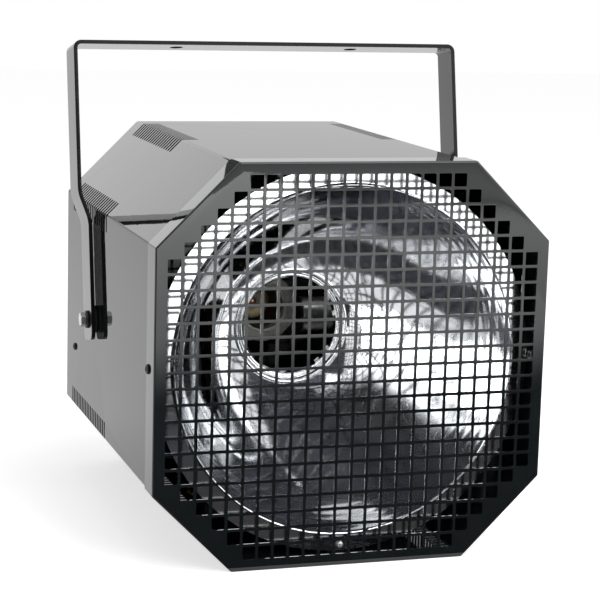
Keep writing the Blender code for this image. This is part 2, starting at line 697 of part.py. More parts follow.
def build_shelf():
    """Cross shelf screwed to both sides, with the bracket that holds the lampholder."""
    half = HOUSING_INNER - GAP
    y = depth_to_y(SHELF_DEPTH)
    outline = [(-half, y, SHELF_TOP - SHELF_FLANGE), (-half, y, SHELF_TOP), (half, y, SHELF_TOP),
               (half, y, SHELF_TOP - SHELF_FLANGE)]
    shelf = bent_strip("gear_shelf", outline, SHELF_WIDTH, SHELF_SHEET, ZINC,
                       (0, y, SHELF_TOP - SHELF_FLANGE))
    bracket_y = depth_to_y(BRACKET_DEPTH)
    foot_z = SHELF_TOP + GAP
    half_width = HOLDER_BRACKET_WIDTH / 2
    outline = [(0, bracket_y, CENTRE_Z + HOLDER_BRACKET_TOP), (0, bracket_y, foot_z),
               (0, bracket_y + HOLDER_BRACKET_FOOT, foot_z)]
    bracket = bent_strip("lampholder_bracket", outline, HOLDER_BRACKET_WIDTH, HOLDER_BRACKET_SHEET, ZINC,
                         (0, bracket_y + HOLDER_BRACKET_FOOT, CENTRE_Z), along=(1, 0, 0))
    shelf_cuts = bmesh.new()
    bracket_cuts = bmesh.new()
    hole = (SMALL_SCREW + HOLE_CLEARANCE) / 2
    screw_y = depth_to_y(SHELF_SCREW_DEPTH)
    screw_z = SHELF_TOP - SHELF_SCREW_DROP
    foot_y = bracket_y + FOOT_SCREW_BACK
    bracket_rear = bracket_y + HOLDER_BRACKET_SHEET
    for side_name, side in SIDES.items():
        add_cylinder(shelf_cuts, hole, (side * (half - 2 * SHELF_SHEET), screw_y, screw_z),
                     (side * (half + SHELF_SHEET), screw_y, screw_z))
        screw = pan_screw("shelf_screw_" + side_name, SMALL_SCREW, SMALL_SCREW_HEAD,
                          SMALL_SCREW_HEAD_HEIGHT, SHELF_SCREW_LENGTH, SCREW_BLACK)
        place_screw(screw, (side * (HOUSING_HALF + GAP), screw_y, screw_z), (side, 0, 0))

        x = side * (half_width - FOOT_SCREW_INSET)
        low = SHELF_TOP - 2 * SHELF_SHEET
        high = foot_z + 2 * HOLDER_BRACKET_SHEET
        add_cylinder(shelf_cuts, hole, (x, foot_y, low), (x, foot_y, high))
        add_cylinder(bracket_cuts, hole, (x, foot_y, low), (x, foot_y, high))
        screw = pan_screw("bracket_screw_" + side_name, SMALL_SCREW, SMALL_SCREW_HEAD,
                          SMALL_SCREW_HEAD_HEIGHT, FOOT_SCREW_LENGTH, ZINC)
        place_screw(screw, (x, foot_y, foot_z + HOLDER_BRACKET_SHEET + GAP), (0, 0, 1))

        x = side * HOLDER_SCREW_SPACING / 2
        add_cylinder(bracket_cuts, hole, (x, bracket_y - HOLDER_BRACKET_SHEET, CENTRE_Z),
                     (x, bracket_rear + HOLDER_BRACKET_SHEET, CENTRE_Z))
        screw = pan_screw("holder_screw_" + side_name, SMALL_SCREW, SMALL_SCREW_HEAD,
                          SMALL_SCREW_HEAD_HEIGHT, HOLDER_SCREW_LENGTH, ZINC)
        place_screw(screw, (x, bracket_rear + GAP, CENTRE_Z), (0, 1, 0))
    clip_screw_y = depth_to_y(CAPACITOR_DEPTH) + CLIP_RADIUS + CLIP_FOOT / 2
    add_cylinder(shelf_cuts, hole, (CAPACITOR_X, clip_screw_y, SHELF_TOP - 2 * SHELF_SHEET),
                 (CAPACITOR_X, clip_screw_y, SHELF_TOP + SHELF_SHEET))
    add_cutter("shelf_holes", shelf_cuts, shelf)
    add_cutter("bracket_holes", bracket_cuts, bracket)
    return clip_screw_y


def build_capacitor(clip_screw_y):
    """Round capacitor lying on the shelf under its clip, and the terminal block beside it."""
    y = depth_to_y(CAPACITOR_DEPTH)
    z = SHELF_TOP + GAP + CAPACITOR_RADIUS
    half = CAPACITOR_LENGTH / 2
    flat = CAPACITOR_RADIUS - CAPACITOR_EDGE
    profile = [(0, half), (flat, half), (CAPACITOR_RADIUS, half - CAPACITOR_EDGE),
               (CAPACITOR_RADIUS, CAPACITOR_EDGE - half), (flat, -half), (0, -half)]
    made = turned("capacitor", profile, CAN, 20)
    place(made, (CAPACITOR_X, y, z), (1, 0, 0))

    outline = [(CAPACITOR_X, y - CLIP_RADIUS, SHELF_TOP + GAP)]
    for step in range(CLIP_STEPS + 1):
        turn = math.pi * step / CLIP_STEPS
        outline.append((CAPACITOR_X, y - CLIP_RADIUS * math.cos(turn), z + CLIP_RADIUS * math.sin(turn)))
    foot_z = SHELF_TOP + GAP + CLIP_SHEET
    outline.append((CAPACITOR_X, y + CLIP_RADIUS, foot_z))
    outline.append((CAPACITOR_X, y + CLIP_RADIUS + CLIP_FOOT, foot_z))
    clip = bent_strip("capacitor_clip", outline, CLIP_WIDTH, CLIP_SHEET, ZINC,
                      (CAPACITOR_X, y, z), along=(1, 0, 0))
    bm = bmesh.new()
    hole = (SMALL_SCREW + HOLE_CLEARANCE) / 2
    add_cylinder(bm, hole, (CAPACITOR_X, clip_screw_y, SHELF_TOP),
                 (CAPACITOR_X, clip_screw_y, foot_z + CLIP_SHEET))
    add_cutter("clip_hole", bm, clip)
    screw = pan_screw("clip_screw", SMALL_SCREW, SMALL_SCREW_HEAD, SMALL_SCREW_HEAD_HEIGHT,
                      FOOT_SCREW_LENGTH, ZINC)
    place_screw(screw, (CAPACITOR_X, clip_screw_y, foot_z + GAP), (0, 0, 1))

    y = depth_to_y(SHELF_DEPTH)
    bm = bmesh.new()
    low = (TERMINAL_X - TERMINAL_LENGTH / 2, y - TERMINAL_DEPTH / 2, SHELF_TOP + GAP)
    high = (TERMINAL_X + TERMINAL_LENGTH / 2, y + TERMINAL_DEPTH / 2, SHELF_TOP + GAP + TERMINAL_HEIGHT)
    add_box(bm, low, high)
    block = add_part("terminal_block", mesh_from(bm, "terminal_block"), PORCELAIN)
    bm = bmesh.new()
    for pole in range(TERMINAL_POLES):
        x = TERMINAL_X + (pole - (TERMINAL_POLES - 1) / 2) * TERMINAL_LENGTH / TERMINAL_POLES
        for row in (-1, 1):
            well = (x, y + row * TERMINAL_DEPTH / 4, high[2] - TERMINAL_WELL_DEPTH)
            add_cylinder(bm, TERMINAL_WELL / 2, well, (x, well[1], high[2] + TERMINAL_WELL_DEPTH), 8)
    add_cutter("terminal_wells", bm, block)


def build_ballast():
    """Choke bolted to the rear panel: plate, laminated core and the coil through it."""
    plate_rear = REAR_INNER - GAP
    core_rear = plate_rear - BALLAST_PLATE - GAP
    core_front = core_rear - BALLAST_CORE_DEPTH
    half_height = BALLAST_CORE_HEIGHT / 2
    bm = bmesh.new()
    half = BALLAST_PLATE_LENGTH / 2
    add_box(bm, (BALLAST_X - half, depth_to_y(plate_rear - BALLAST_PLATE), BALLAST_Z - half_height),
            (BALLAST_X + half, depth_to_y(plate_rear), BALLAST_Z + half_height))
    plate = add_part("ballast_plate", mesh_from(bm, "ballast_plate"), IRON)
    bm = bmesh.new()
    add_box(bm, (BALLAST_X - BALLAST_CORE_LENGTH / 2, depth_to_y(core_front), BALLAST_Z - half_height),
            (BALLAST_X + BALLAST_CORE_LENGTH / 2, depth_to_y(core_rear), BALLAST_Z + half_height))
    core = add_part("ballast_core", mesh_from(bm, "ballast_core"), IRON)
    middle = (core_front + core_rear) / 2
    bm = bmesh.new()
    reach = BALLAST_CORE_LENGTH
    wide = BALLAST_COIL_DEPTH / 2 + GAP
    tall = BALLAST_COIL_HEIGHT / 2 + GAP
    add_box(bm, (BALLAST_X - reach, depth_to_y(middle - wide), BALLAST_Z - tall),
            (BALLAST_X + reach, depth_to_y(middle + wide), BALLAST_Z + tall))
    add_cutter("ballast_window", bm, core)
    bm = bmesh.new()
    wide = BALLAST_COIL_DEPTH / 2
    tall = BALLAST_COIL_HEIGHT / 2
    add_box(bm, (BALLAST_X - BALLAST_COIL_LENGTH / 2, depth_to_y(middle - wide), BALLAST_Z - tall),
            (BALLAST_X + BALLAST_COIL_LENGTH / 2, depth_to_y(middle + wide), BALLAST_Z + tall))
    coil = add_part("ballast_coil", mesh_from(bm, "ballast_coil"), VARNISHED_COIL)
    edge = coil.modifiers.new("edge", "BEVEL")
    edge.width = BALLAST_COIL_EDGE
    edge.segments = 2
    bm = bmesh.new()
    hole = (REAR_BOLT + HOLE_CLEARANCE) / 2
    seat = depth_to_y(REAR_OUTER + GAP)
    for side_name, side in SIDES.items():
        x = BALLAST_X + side * BALLAST_BOLT_SPACING / 2
        add_cylinder(bm, hole, (x, depth_to_y(REAR_OUTER), BALLAST_Z),
                     (x, depth_to_y(core_rear - BALLAST_PLATE), BALLAST_Z))
        bolt = hex_bolt("ballast_bolt_" + side_name, REAR_BOLT_HEX, REAR_BOLT_HEAD, REAR_BOLT,
                        REAR_BOLT_LENGTH, ZINC)
        place_pair(bolt, (x, seat, BALLAST_Z), (0, 1, 0))
    add_cutter("ballast_plate_holes", bm, plate)
    earth = hex_bolt("earth_bolt", REAR_BOLT_HEX, REAR_BOLT_HEAD, REAR_BOLT, EARTH_BOLT_LENGTH, BRASS)
    place_pair(earth, (EARTH_X, seat, EARTH_Z), (0, 1, 0))


def build_gland():
    """Cable gland in three pieces, screwed through the rear panel, with a clear bore."""
    seat = depth_to_y(REAR_OUTER + GAP)
    bore = GLAND_BORE / 2
    neck = GLAND_NECK / 2
    neck_top = GLAND_HEX_HEIGHT + GLAND_NECK_HEIGHT
    body = hex_prism("gland_body", GLAND_HEX, 0, GLAND_HEX_HEIGHT, NYLON)
    stem = bmesh.new()
    add_cylinder(stem, GLAND_THREAD / 2, (0, 0, -GLAND_INWARD), (0, 0, GLAND_HEX_HEIGHT / 2), 16)
    stem_tool = add_cutter("gland_thread", stem, body, None, "UNION")
    top = bmesh.new()
    add_cylinder(top, neck, (0, 0, GLAND_HEX_HEIGHT / 2), (0, 0, neck_top), 16)
    top_tool = add_cutter("gland_neck", top, body, None, "UNION")
    hollow = bmesh.new()
    add_cylinder(hollow, bore, (0, 0, -2 * GLAND_INWARD), (0, 0, 2 * neck_top))
    hollow_tool = add_cutter("gland_bore", hollow, body)
    place_pair((body, stem_tool, top_tool, hollow_tool), (GLAND_X, seat, GLAND_Z), (0, 1, 0))

    low = GLAND_HEX_HEIGHT + GAP
    roof = neck_top + GAP
    outer = GLAND_HEX / 2
    lip = bore + GLAND_MOUTH_WALL
    profile = [(neck + GAP, low), (outer, low), (outer, roof - GLAND_DOME / 2), (lip, roof + GLAND_DOME),
               (bore, roof + GLAND_DOME), (bore, roof), (neck + GAP, roof)]
    nut = turned("gland_nut", profile, NYLON, 16, closed=True)
    place(nut, (GLAND_X, seat, GLAND_Z), (0, 1, 0))

    lock = hex_nut("gland_locknut", GLAND_HEX, GLAND_LOCKNUT, GLAND_THREAD + HOLE_CLEARANCE, NYLON,
                   segments=20)
    place_pair(lock, (GLAND_X, depth_to_y(REAR_INNER - GAP), GLAND_Z), (0, -1, 0))


def yoke_outline():
    """Outer line of the bent bar from the left arm's end, over the top, to the right arm's end."""
    half = [(-YOKE_ARM_HALF, -ARM_END), (-YOKE_ARM_HALF, JOGGLE_START), (-YOKE_BAR_HALF, JOGGLE_END)]
    for step in range(BAR_BEND_STEPS + 1):
        turn = math.pi / 2 * step / BAR_BEND_STEPS
        x = -YOKE_BAR_HALF + BAR_BEND * (1 - math.cos(turn))
        half.append((x, YOKE_HEIGHT - BAR_BEND * (1 - math.sin(turn))))
    whole = half + [(-x, z) for x, z in reversed(half)]
    return [(x, 0, z) for x, z in whole]


def build_yoke():
    """Bent flat bar that turns about the two pivot bolts."""
    pivot = (0, depth_to_y(PIVOT_DEPTH), CENTRE_Z)
    tilt = add_empty("yoke_pivot", pivot, (-math.radians(YOKE_REST_TILT), 0, 0))
    yoke = bent_strip("yoke", yoke_outline(), YOKE_WIDTH, YOKE_THICKNESS, YOKE_BLACK, (0, 0, 0), tilt,
                      ARM_CORNER)
    bm = bmesh.new()
    reach = YOKE_ARM_HALF + YOKE_THICKNESS
    add_cylinder(bm, (PIVOT_BOLT + HOLE_CLEARANCE) / 2, (-reach, 0, 0), (reach, 0, 0), 16)
    for side in SIDES.values():
        x = side * BAR_HOLE_SPACING / 2
        low = YOKE_HEIGHT - 2 * YOKE_THICKNESS
        add_cylinder(bm, BAR_HOLE / 2, (x, 0, low), (x, 0, YOKE_HEIGHT + YOKE_THICKNESS), 16)
    add_cutter("yoke_holes", bm, yoke, tilt)


def build_pivots():
    """Hex bolt, washer, friction disc and nut at each side."""
    y = depth_to_y(PIVOT_DEPTH)
    arm_inner = YOKE_ARM_HALF - YOKE_THICKNESS
    disc_low = HOUSING_HALF + GAP
    disc_high = arm_inner - GAP
    washer_low = YOKE_ARM_HALF + GAP
    washer_high = washer_low + PIVOT_WASHER_THICKNESS
    bolt_seat = washer_high + GAP
    nut_seat = HOUSING_INNER - GAP
    tip = nut_seat - PIVOT_NUT_THICKNESS - PIVOT_BOLT_TIP
    hole = (PIVOT_BOLT + HOLE_CLEARANCE) / 2
    for side_name, side in SIDES.items():
        facing = (side, 0, 0)
        bolt = hex_bolt("pivot_bolt_" + side_name, PIVOT_HEX, PIVOT_HEAD, PIVOT_BOLT, bolt_seat - tip, ZINC)
        place_pair(bolt, (side * bolt_seat, y, CENTRE_Z), facing)
        nut = hex_nut("pivot_nut_" + side_name, PIVOT_HEX, PIVOT_NUT_THICKNESS, 2 * hole, ZINC)
        place_pair(nut, (side * nut_seat, y, CENTRE_Z), (-side, 0, 0))
        discs = (("pivot_disc_", PIVOT_SPACER, disc_low, disc_high, RUBBER),
                 ("pivot_washer_", PIVOT_WASHER, washer_low, washer_high, SCREW_BLACK))
        for name, across, low, high, finish in discs:
            thickness = high - low
            profile = [(hole, thickness), (across / 2, thickness), (across / 2, 0), (hole, 0)]
            disc = turned(name + side_name, profile, finish, 16, closed=True)
            place(disc, (side * low, y, CENTRE_Z), facing)


def smooth_route(route):
    """Points on a smooth curve through the route's own points."""
    points = [Vector(point) for point in route]
    padded = [points[0] * 2 - points[1]] + points + [points[-1] * 2 - points[-2]]
    smooth = []
    for a, b, c, d in zip(padded, padded[1:], padded[2:], padded[3:]):
        for step in range(LEAD_STEPS):
            t = step / LEAD_STEPS
            smooth.append(0.5 * (2 * b + (c - a) * t + (2 * a - 5 * b + 4 * c - d) * t ** 2
                                 + (3 * b - a - 3 * c + d) * t ** 3))
    smooth.append(points[-1])
    return smooth


def build_lead(name, route, finish):
    curve = bpy.data.curves.new(name, "CURVE")
    curve.dimensions = "3D"
    curve.bevel_depth = LEAD_RADIUS
    curve.bevel_resolution = 2
    curve.use_fill_caps = True
    points = smooth_route(route)
    spline = curve.splines.new("POLY")
    spline.points.add(len(points) - 1)
    for point, place_at in zip(spline.points, points):
        point.co = (*place_at, 1.0)
    made = bpy.data.objects.new(name, curve)
    parts.objects.link(made)
    curve.materials.append(material(name, *finish))


def build_leads():
    """Two lamp leads and the choke's lead, run from the terminal block."""
    y = depth_to_y(SHELF_DEPTH)
    lead_z = SHELF_TOP + GAP + TERMINAL_HEIGHT / 2
    block_front = y - TERMINAL_DEPTH / 2
    pole_pitch = TERMINAL_LENGTH / TERMINAL_POLES
    holder_y = depth_to_y(HOLDER_DEPTH + HOLDER_LENGTH) - LEAD_EXIT
    for name, side, pole in (("lamp_lead_live", 1, 0), ("lamp_lead_neutral", -1, 1)):
        x = TERMINAL_X + pole * pole_pitch
        rise = side * LEAD_SPACING / 2
        z = CENTRE_Z + rise
        holder_x = -math.sqrt(HOLDER_RADIUS ** 2 - rise ** 2) - 2 * GAP
        route = [(x, block_front - 2 * GAP, lead_z), (x, block_front - LEAD_EXIT, lead_z),
                 ((x + holder_x) / 2, block_front - LEAD_EXIT, (lead_z + z) / 2),
                 (holder_x - LEAD_EXIT, holder_y, z), (holder_x, holder_y, z)]
        build_lead(name, route, SILICONE)
    coil_x = BALLAST_X - BALLAST_COIL_LENGTH / 2 - 2 * GAP
    plate_front = REAR_INNER - BALLAST_PLATE - 2 * GAP
    coil_y = depth_to_y(plate_front - BALLAST_CORE_DEPTH / 2)
    x = TERMINAL_X - pole_pitch
    front = y - SHELF_WIDTH / 2 - LEAD_EXIT / 2
    route = [(x, block_front - 2 * GAP, lead_z), (x, block_front - LEAD_EXIT, lead_z), (x, front, SHELF_TOP),
             (x, front, SHELF_TOP - SHELF_FLANGE), (x, y - LEAD_ENTRY, BALLAST_Z + LEAD_ENTRY),
             (coil_x - LEAD_ENTRY, coil_y, BALLAST_Z), (coil_x, coil_y, BALLAST_Z)]
    build_lead("ballast_lead", route, RUBBER)


build_housing()
build_front_cover()
build_rear_panel()
build_reflector()
build_lampholder()
build_capacitor(build_shelf())
build_ballast()
build_gland()
build_yoke()
build_pivots()
build_leads()

for part in parts.objects:
    if part.type == "MESH":
        smooth_round(part.data)
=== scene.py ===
"""Looks of the blacklight spotlight: a flood in a gloss black sheet-steel box with a tilting yoke.

The front faces -Y, X is the width and Z is up, in metres. Each section below is one piece, or one
group of like pieces, in the order in which the flood goes together.
"""
import json
import math

import bmesh
import bpy
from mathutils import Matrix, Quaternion, Vector


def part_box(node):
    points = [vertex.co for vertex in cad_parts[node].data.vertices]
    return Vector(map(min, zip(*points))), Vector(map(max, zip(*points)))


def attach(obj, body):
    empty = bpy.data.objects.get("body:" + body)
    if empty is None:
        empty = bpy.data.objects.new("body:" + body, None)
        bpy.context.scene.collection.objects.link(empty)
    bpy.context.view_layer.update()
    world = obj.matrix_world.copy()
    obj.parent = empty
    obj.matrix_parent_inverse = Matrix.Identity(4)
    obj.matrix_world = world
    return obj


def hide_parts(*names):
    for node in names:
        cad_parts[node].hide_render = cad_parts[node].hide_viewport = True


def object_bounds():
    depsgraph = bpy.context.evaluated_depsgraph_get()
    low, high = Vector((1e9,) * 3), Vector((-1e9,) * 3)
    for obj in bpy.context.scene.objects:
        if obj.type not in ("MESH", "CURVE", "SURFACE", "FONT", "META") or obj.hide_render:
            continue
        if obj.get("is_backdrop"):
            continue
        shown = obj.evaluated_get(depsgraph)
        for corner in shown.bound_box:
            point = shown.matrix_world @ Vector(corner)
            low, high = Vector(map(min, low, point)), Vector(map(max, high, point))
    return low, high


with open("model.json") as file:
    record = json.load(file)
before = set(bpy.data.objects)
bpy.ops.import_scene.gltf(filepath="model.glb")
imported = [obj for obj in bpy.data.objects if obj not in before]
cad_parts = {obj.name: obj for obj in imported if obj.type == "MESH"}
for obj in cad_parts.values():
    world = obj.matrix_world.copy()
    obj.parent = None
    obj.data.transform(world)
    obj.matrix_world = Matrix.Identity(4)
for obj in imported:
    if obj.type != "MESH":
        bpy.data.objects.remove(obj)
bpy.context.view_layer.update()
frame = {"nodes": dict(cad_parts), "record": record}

# Housing shell
# One sheet of 1.2 mm steel, folded into an eight-sided tube and welded, and open at both ends. A press
# has cut twenty slots across each fold, and the whole is coated in gloss black powder.
SHEET = 0.0012
LAMP_AXIS_Z = 0.190
HOUSING_HALF = 0.1884
HOUSING_LEG = 0.07507
FOLD_RADIUS = 0.0026
FOLD_STEPS = 5
SLOT_COUNT = 20
SLOT_PITCH = 0.0088
SLOT_WIDTH = 0.0045
SLOT_REACH = 0.017
SLOT_FROM_REAR = 0.0323
SLOT_CORNER = 0.0012
SLOT_TOOL = 0.012
NOTCH = 0.003
NOTCH_END = 0.025
PIVOT_Y = 0.0492
BOLT_HOLE = 0.0042
SHELF_SCREW_Y = 0.1562
SHELF_SCREW_Z = 0.140
SMALL_HOLE = 0.0022
PAINT_BLACK = (0.010, 0.011, 0.012)
HOUSING_GLOSS = 0.78
HOUSING_EDGE = 0.00022
COAT_HAZE = (0.255, 0.375)
COAT_PEEL = 0.000006
SIDES = {"left": -1, "right": 1}
SOCKETS = {"coat": "Coat Weight", "coat_ior": "Coat IOR", "ior": "IOR", "level": "Specular IOR Level"}

body_of = {node: body for body, nodes in frame["record"]["behaviour"]["bodies"].items() for node in nodes}


def take(piece):
    """Select one piece alone, ready to be worked on."""
    bpy.ops.object.select_all(action="DESELECT")
    bpy.context.view_layer.objects.active = piece
    piece.select_set(True)


def edit(piece, kind="FACE"):
    """Open a piece for editing with nothing selected, and give its mesh."""
    take(piece)
    bpy.ops.object.mode_set(mode="EDIT")
    bpy.ops.mesh.select_mode(type=kind)
    bpy.ops.mesh.select_all(action="DESELECT")
    return bmesh.from_edit_mesh(piece.data)


def done():
    bpy.ops.object.mode_set(mode="OBJECT")


def pick(parts, test):
    """Select the faces, edges or corners that pass a test."""
    for part in parts:
        if test(part):
            part.select_set(True)


def middle(part):
    return sum((vert.co for vert in part.verts), Vector()) / len(part.verts)


def along(edge, axis):
    """How far an edge keeps to a direction, from 0 to 1."""
    return abs((edge.verts[1].co - edge.verts[0].co).normalized().dot(Vector(axis)))


def lengthwise(edge):
    return along(edge, (0, 1, 0)) > 0.9


def round_off(piece, test, width, steps, corners=False, measure="OFFSET"):
    """Bevel the edges, or the corners, that pass a test, with this many faces across each."""
    bm = edit(piece, "VERT" if corners else "EDGE")
    pick(bm.verts if corners else bm.edges, test)
    bpy.ops.mesh.bevel(offset=width, offset_type=measure, segments=steps,
                       affect="VERTICES" if corners else "EDGES")
    done()


def remove_faces(piece, test):
    bm = edit(piece)
    pick(bm.faces, test)
    bpy.ops.mesh.delete(type="FACE")
    done()


def change(piece, kind, **settings):
    """Add a modifier with these settings and apply it."""
    made = piece.modifiers.new(kind, kind)
    for name, value in settings.items():
        setattr(made, name, value)
    take(piece)
    bpy.ops.object.modifier_apply(modifier=made.name)


def settled(name):
    """Name the object in hand, and put its place, turn and size into its mesh."""
    made = bpy.context.object
    made.name = name
    bpy.ops.object.transform_apply(location=True, rotation=True, scale=True)
    return made


def add_block(low, high, name):
    """A block between two opposite corners."""
    low, high = Vector(low), Vector(high)
    bpy.ops.mesh.primitive_cube_add(size=1, location=(low + high) / 2, scale=high - low)
    return settled(name)


def add_rod(radius, start, end, name, sides=32):
    """A round rod between two points, or one with a few flat sides."""
    start, end = Vector(start), Vector(end)
    turn = (end - start).to_track_quat("Z", "Y").to_euler()
    bpy.ops.mesh.primitive_cylinder_add(vertices=sides, radius=radius, depth=(end - start).length,
                                        location=(start + end) / 2, rotation=turn)
    return settled(name)


def join(pieces):
    take(pieces[0])
    for piece in pieces:
        piece.select_set(True)
    bpy.ops.object.join()
    return bpy.context.object


def cut(piece, tools, operation="DIFFERENCE"):
    """Cut a piece with closed tools, which are then removed."""
    tool = join(tools)
    change(piece, "BOOLEAN", object=tool, operation=operation, solver="EXACT")
    bpy.data.objects.remove(tool, do_unlink=True)


def smooth(piece, angle=40):
    take(piece)
    bpy.ops.object.shade_smooth_by_angle(angle=math.radians(angle))


def ease(piece, width, steps=2, angle=40):
    """Round the sharp edges and shade the piece, with its flat faces kept flat."""
    change(piece, "BEVEL", width=width, segments=steps, limit_method="ANGLE",
           angle_limit=math.radians(angle), harden_normals=False)
    smooth(piece, angle)
    change(piece, "WEIGHTED_NORMAL", keep_sharp=True, weight=100)


def eight_sided(low, high, leg, name):
    """A block along Y with its four long corners cut away, open at the rear."""
    made = add_block(low, high, name)
    remove_faces(made, lambda face: face.normal.y > 0.9)
    round_off(made, lengthwise, leg, 1)
    return made


def fit(piece, node, finish):
    """Give a finished piece its material and set it in the place of the node that it stands for."""
    piece.data.materials.clear()
    piece.data.materials.append(finish)
    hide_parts(node)
    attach(piece, body_of[node])


def times(colour, share):
    return tuple(part * share for part in colour)


class Finish:
    """A material in the making: the sockets of its shader, and the nodes that feed them."""

    def __init__(self, name, **settings):
        self.material = bpy.data.materials.new(name)
        self.material.use_nodes = True
        self.tree = self.material.node_tree
        self.shader = self.tree.nodes["Principled BSDF"].inputs
        self.place = self.node("TexCoord").outputs["Object"]
        for key, value in settings.items():
            self.give(SOCKETS.get(key, key.replace("_", " ").title()), value)

    def feed(self, socket, value):
        """Link a socket to what another node puts out, or set its own colour or number."""
        if isinstance(value, bpy.types.NodeSocket):
            self.tree.links.new(value, socket)
        else:
            socket.default_value = (*value, 1.0) if socket.type == "RGBA" else value

    def give(self, name, value):
        """Feed one of the shader's sockets."""
        self.feed(self.shader[name], value)

    def node(self, kind, *values, **settings):
        """Add a node with these options and named numbers, and feed its first sockets in order."""
        made = self.tree.nodes.new("ShaderNode" + kind)
        for key, value in settings.items():
            if hasattr(made, key):
                setattr(made, key, value)
            else:
                made.inputs[key.replace("_", " ").title()].default_value = value
        for socket, value in zip(made.inputs, values):
            self.feed(socket, value)
        return made

    def math(self, operation, *values):
        return self.node("Math", *values, operation=operation).outputs[0]

    def noise(self, scale, detail=2.0, roughness=0.5, distortion=0.0):
        return self.node("TexNoise", self.place, scale=scale, detail=detail, roughness=roughness,
                         distortion=distortion).outputs["Fac"]

    def spread(self, value, low, high, out_low=0.0, out_high=1.0):
        """Map a value from one range to another."""
        return self.node("MapRange", value, from_min=low, from_max=high, to_min=out_low,
                         to_max=out_high).outputs["Result"]

    def mix(self, share, first, second):
        """Go from one colour to another."""
        made = self.node("Mix", data_type="RGBA")
        for index, value in ((0, share), (6, first), (7, second)):
            self.feed(made.inputs[index], value)
        return made.outputs[2]

    def bump(self, height, depth, before=None):
        """A bump of this depth, on top of the one before."""
        made = self.node("Bump", strength=1.0, distance=depth)
        self.feed(made.inputs["Height"], height)
        if before:
            self.feed(made.inputs["Normal"], before)
        return made.outputs["Normal"]


def powder_coat(name, colour, gloss, peel=COAT_PEEL):
    """Gloss powder coat: black under a clear gloss, with orange peel and a faint film of dust."""
    coat = Finish(name, coat=gloss, coat_ior=1.5, level=0.0)
    dust = coat.spread(coat.noise(9.0, 6.0, 0.6), 0.45, 0.8)
    coat.give("Base Color", coat.mix(dust, colour, tuple(part * 1.5 + 0.001 for part in colour)))
    smudge = coat.noise(26.0, 5.0, 0.6)
    coat.give("Roughness", coat.spread(smudge, 0.3, 0.75, *COAT_HAZE))
    coat.give("Coat Roughness", coat.spread(smudge, 0.4, 0.8, 0.012, 0.028))
    wave = coat.bump(coat.noise(30.0, 1.0), peel * 3.0)
    coat.give("Coat Normal", coat.bump(coat.noise(380.0), peel, wave))
    return coat.material


front_y, rear_y = (corner.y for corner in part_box("housing_shell"))
housing = eight_sided((-HOUSING_HALF, front_y, LAMP_AXIS_Z - HOUSING_HALF),
                      (HOUSING_HALF, rear_y, LAMP_AXIS_Z + HOUSING_HALF), HOUSING_LEG, "housing_sheet")
remove_faces(housing, lambda face: face.normal.y < -0.9)
round_off(housing, lengthwise, FOLD_RADIUS, FOLD_STEPS, measure="WIDTH")
change(housing, "SOLIDIFY", thickness=SHEET, offset=-1, use_even_offset=True)

slots = []
slot_tool_width = 2 * SLOT_REACH * math.cos(math.pi / 8)
first_slot = rear_y - SLOT_FROM_REAR - SLOT_WIDTH - (SLOT_COUNT - 1) * SLOT_PITCH
near, far = HOUSING_HALF - HOUSING_LEG, HOUSING_HALF
for fold in range(8):
    turn = math.pi / 8 + fold * math.pi / 4
    slot = add_block((-slot_tool_width / 2, first_slot, SHEET - SLOT_TOOL),
                     (slot_tool_width / 2, first_slot + SLOT_WIDTH, SHEET), "slot_tool")
    round_off(slot, lambda edge: along(edge, (0, 0, 1)) > 0.9, SLOT_CORNER, 4)
    change(slot, "ARRAY", count=SLOT_COUNT, use_relative_offset=False, use_constant_offset=True,
           constant_offset_displace=(0, SLOT_PITCH, 0))
    across, up = (far, near) if abs(math.sin(turn)) > abs(math.cos(turn)) else (near, far)
    slot.rotation_euler = (0, turn, 0)
    slot.location = (math.copysign(across, math.sin(turn)), 0,
                     LAMP_AXIS_Z + math.copysign(up, math.cos(turn)))
    slots.append(slot)
join(slots)
cuts = [settled("slot_tools")]
for side in SIDES.values():
    near, far = sorted((side * (HOUSING_HALF - 3 * SHEET), side * (HOUSING_HALF + 3 * SHEET)))
    cuts.append(add_block((near, front_y - NOTCH_END, LAMP_AXIS_Z - NOTCH),
                          (far, front_y + NOTCH_END - SHEET, LAMP_AXIS_Z + NOTCH), "notch_tool"))
    for radius, y, z in ((BOLT_HOLE, PIVOT_Y, LAMP_AXIS_Z), (SMALL_HOLE, SHELF_SCREW_Y, SHELF_SCREW_Z)):
        cuts.append(add_rod(radius, (near, y, z), (far, y, z), "hole_tool"))
cut(housing, cuts)
ease(housing, HOUSING_EDGE, 1, 50)
coat_black = powder_coat("powder_coat_black", PAINT_BLACK, HOUSING_GLOSS)
fit(housing, "housing_shell", coat_black)

# Reflector
# A bowl spun from one 0.8 mm aluminium disc and polished, with a flat ring to fix it by, a raised lip
# and a neck stiffened with two beads. The tool leaves fine rings and the thin sheet ripples a little.
REFLECTOR_WALL = 0.0008
RING_OUTER = 0.1845
RING_INNER = 0.1679
RING_DEPTH = 0.028
RIM_SCREW_RADIUS = 0.17925
LIP_OUTER = 0.1666
MOUTH = 0.1655
MOUTH_DEPTH = 0.0205
HOLD = 0.0007
RING_BEND = 0.0015
WALL_LEAN = 0.0002
LIP_BEND = 0.0012
LIP_CREST = 0.0003
LIP_INNER = 0.0004
LIP_FALL = 0.0008
LIP_STEPS = 8
NECK = 0.048
NECK_LENGTH = 0.0095
BEAD_OUTER = 0.060
BEAD_DEPTH = 0.2015
BEAD_COUNT = 2
BEAD_HEIGHT = 0.003
GROOVED = 0.146
GROOVE_PITCH = 0.0031
GROOVE_DEPTH = 0.000045
GROOVE_STEPS = 42
BOWL_SWELL = 0.38
BOWL_STEPS = 64
BEAD_STEPS = 10
SPIN_STEPS = 192
RIPPLE = 0.00035
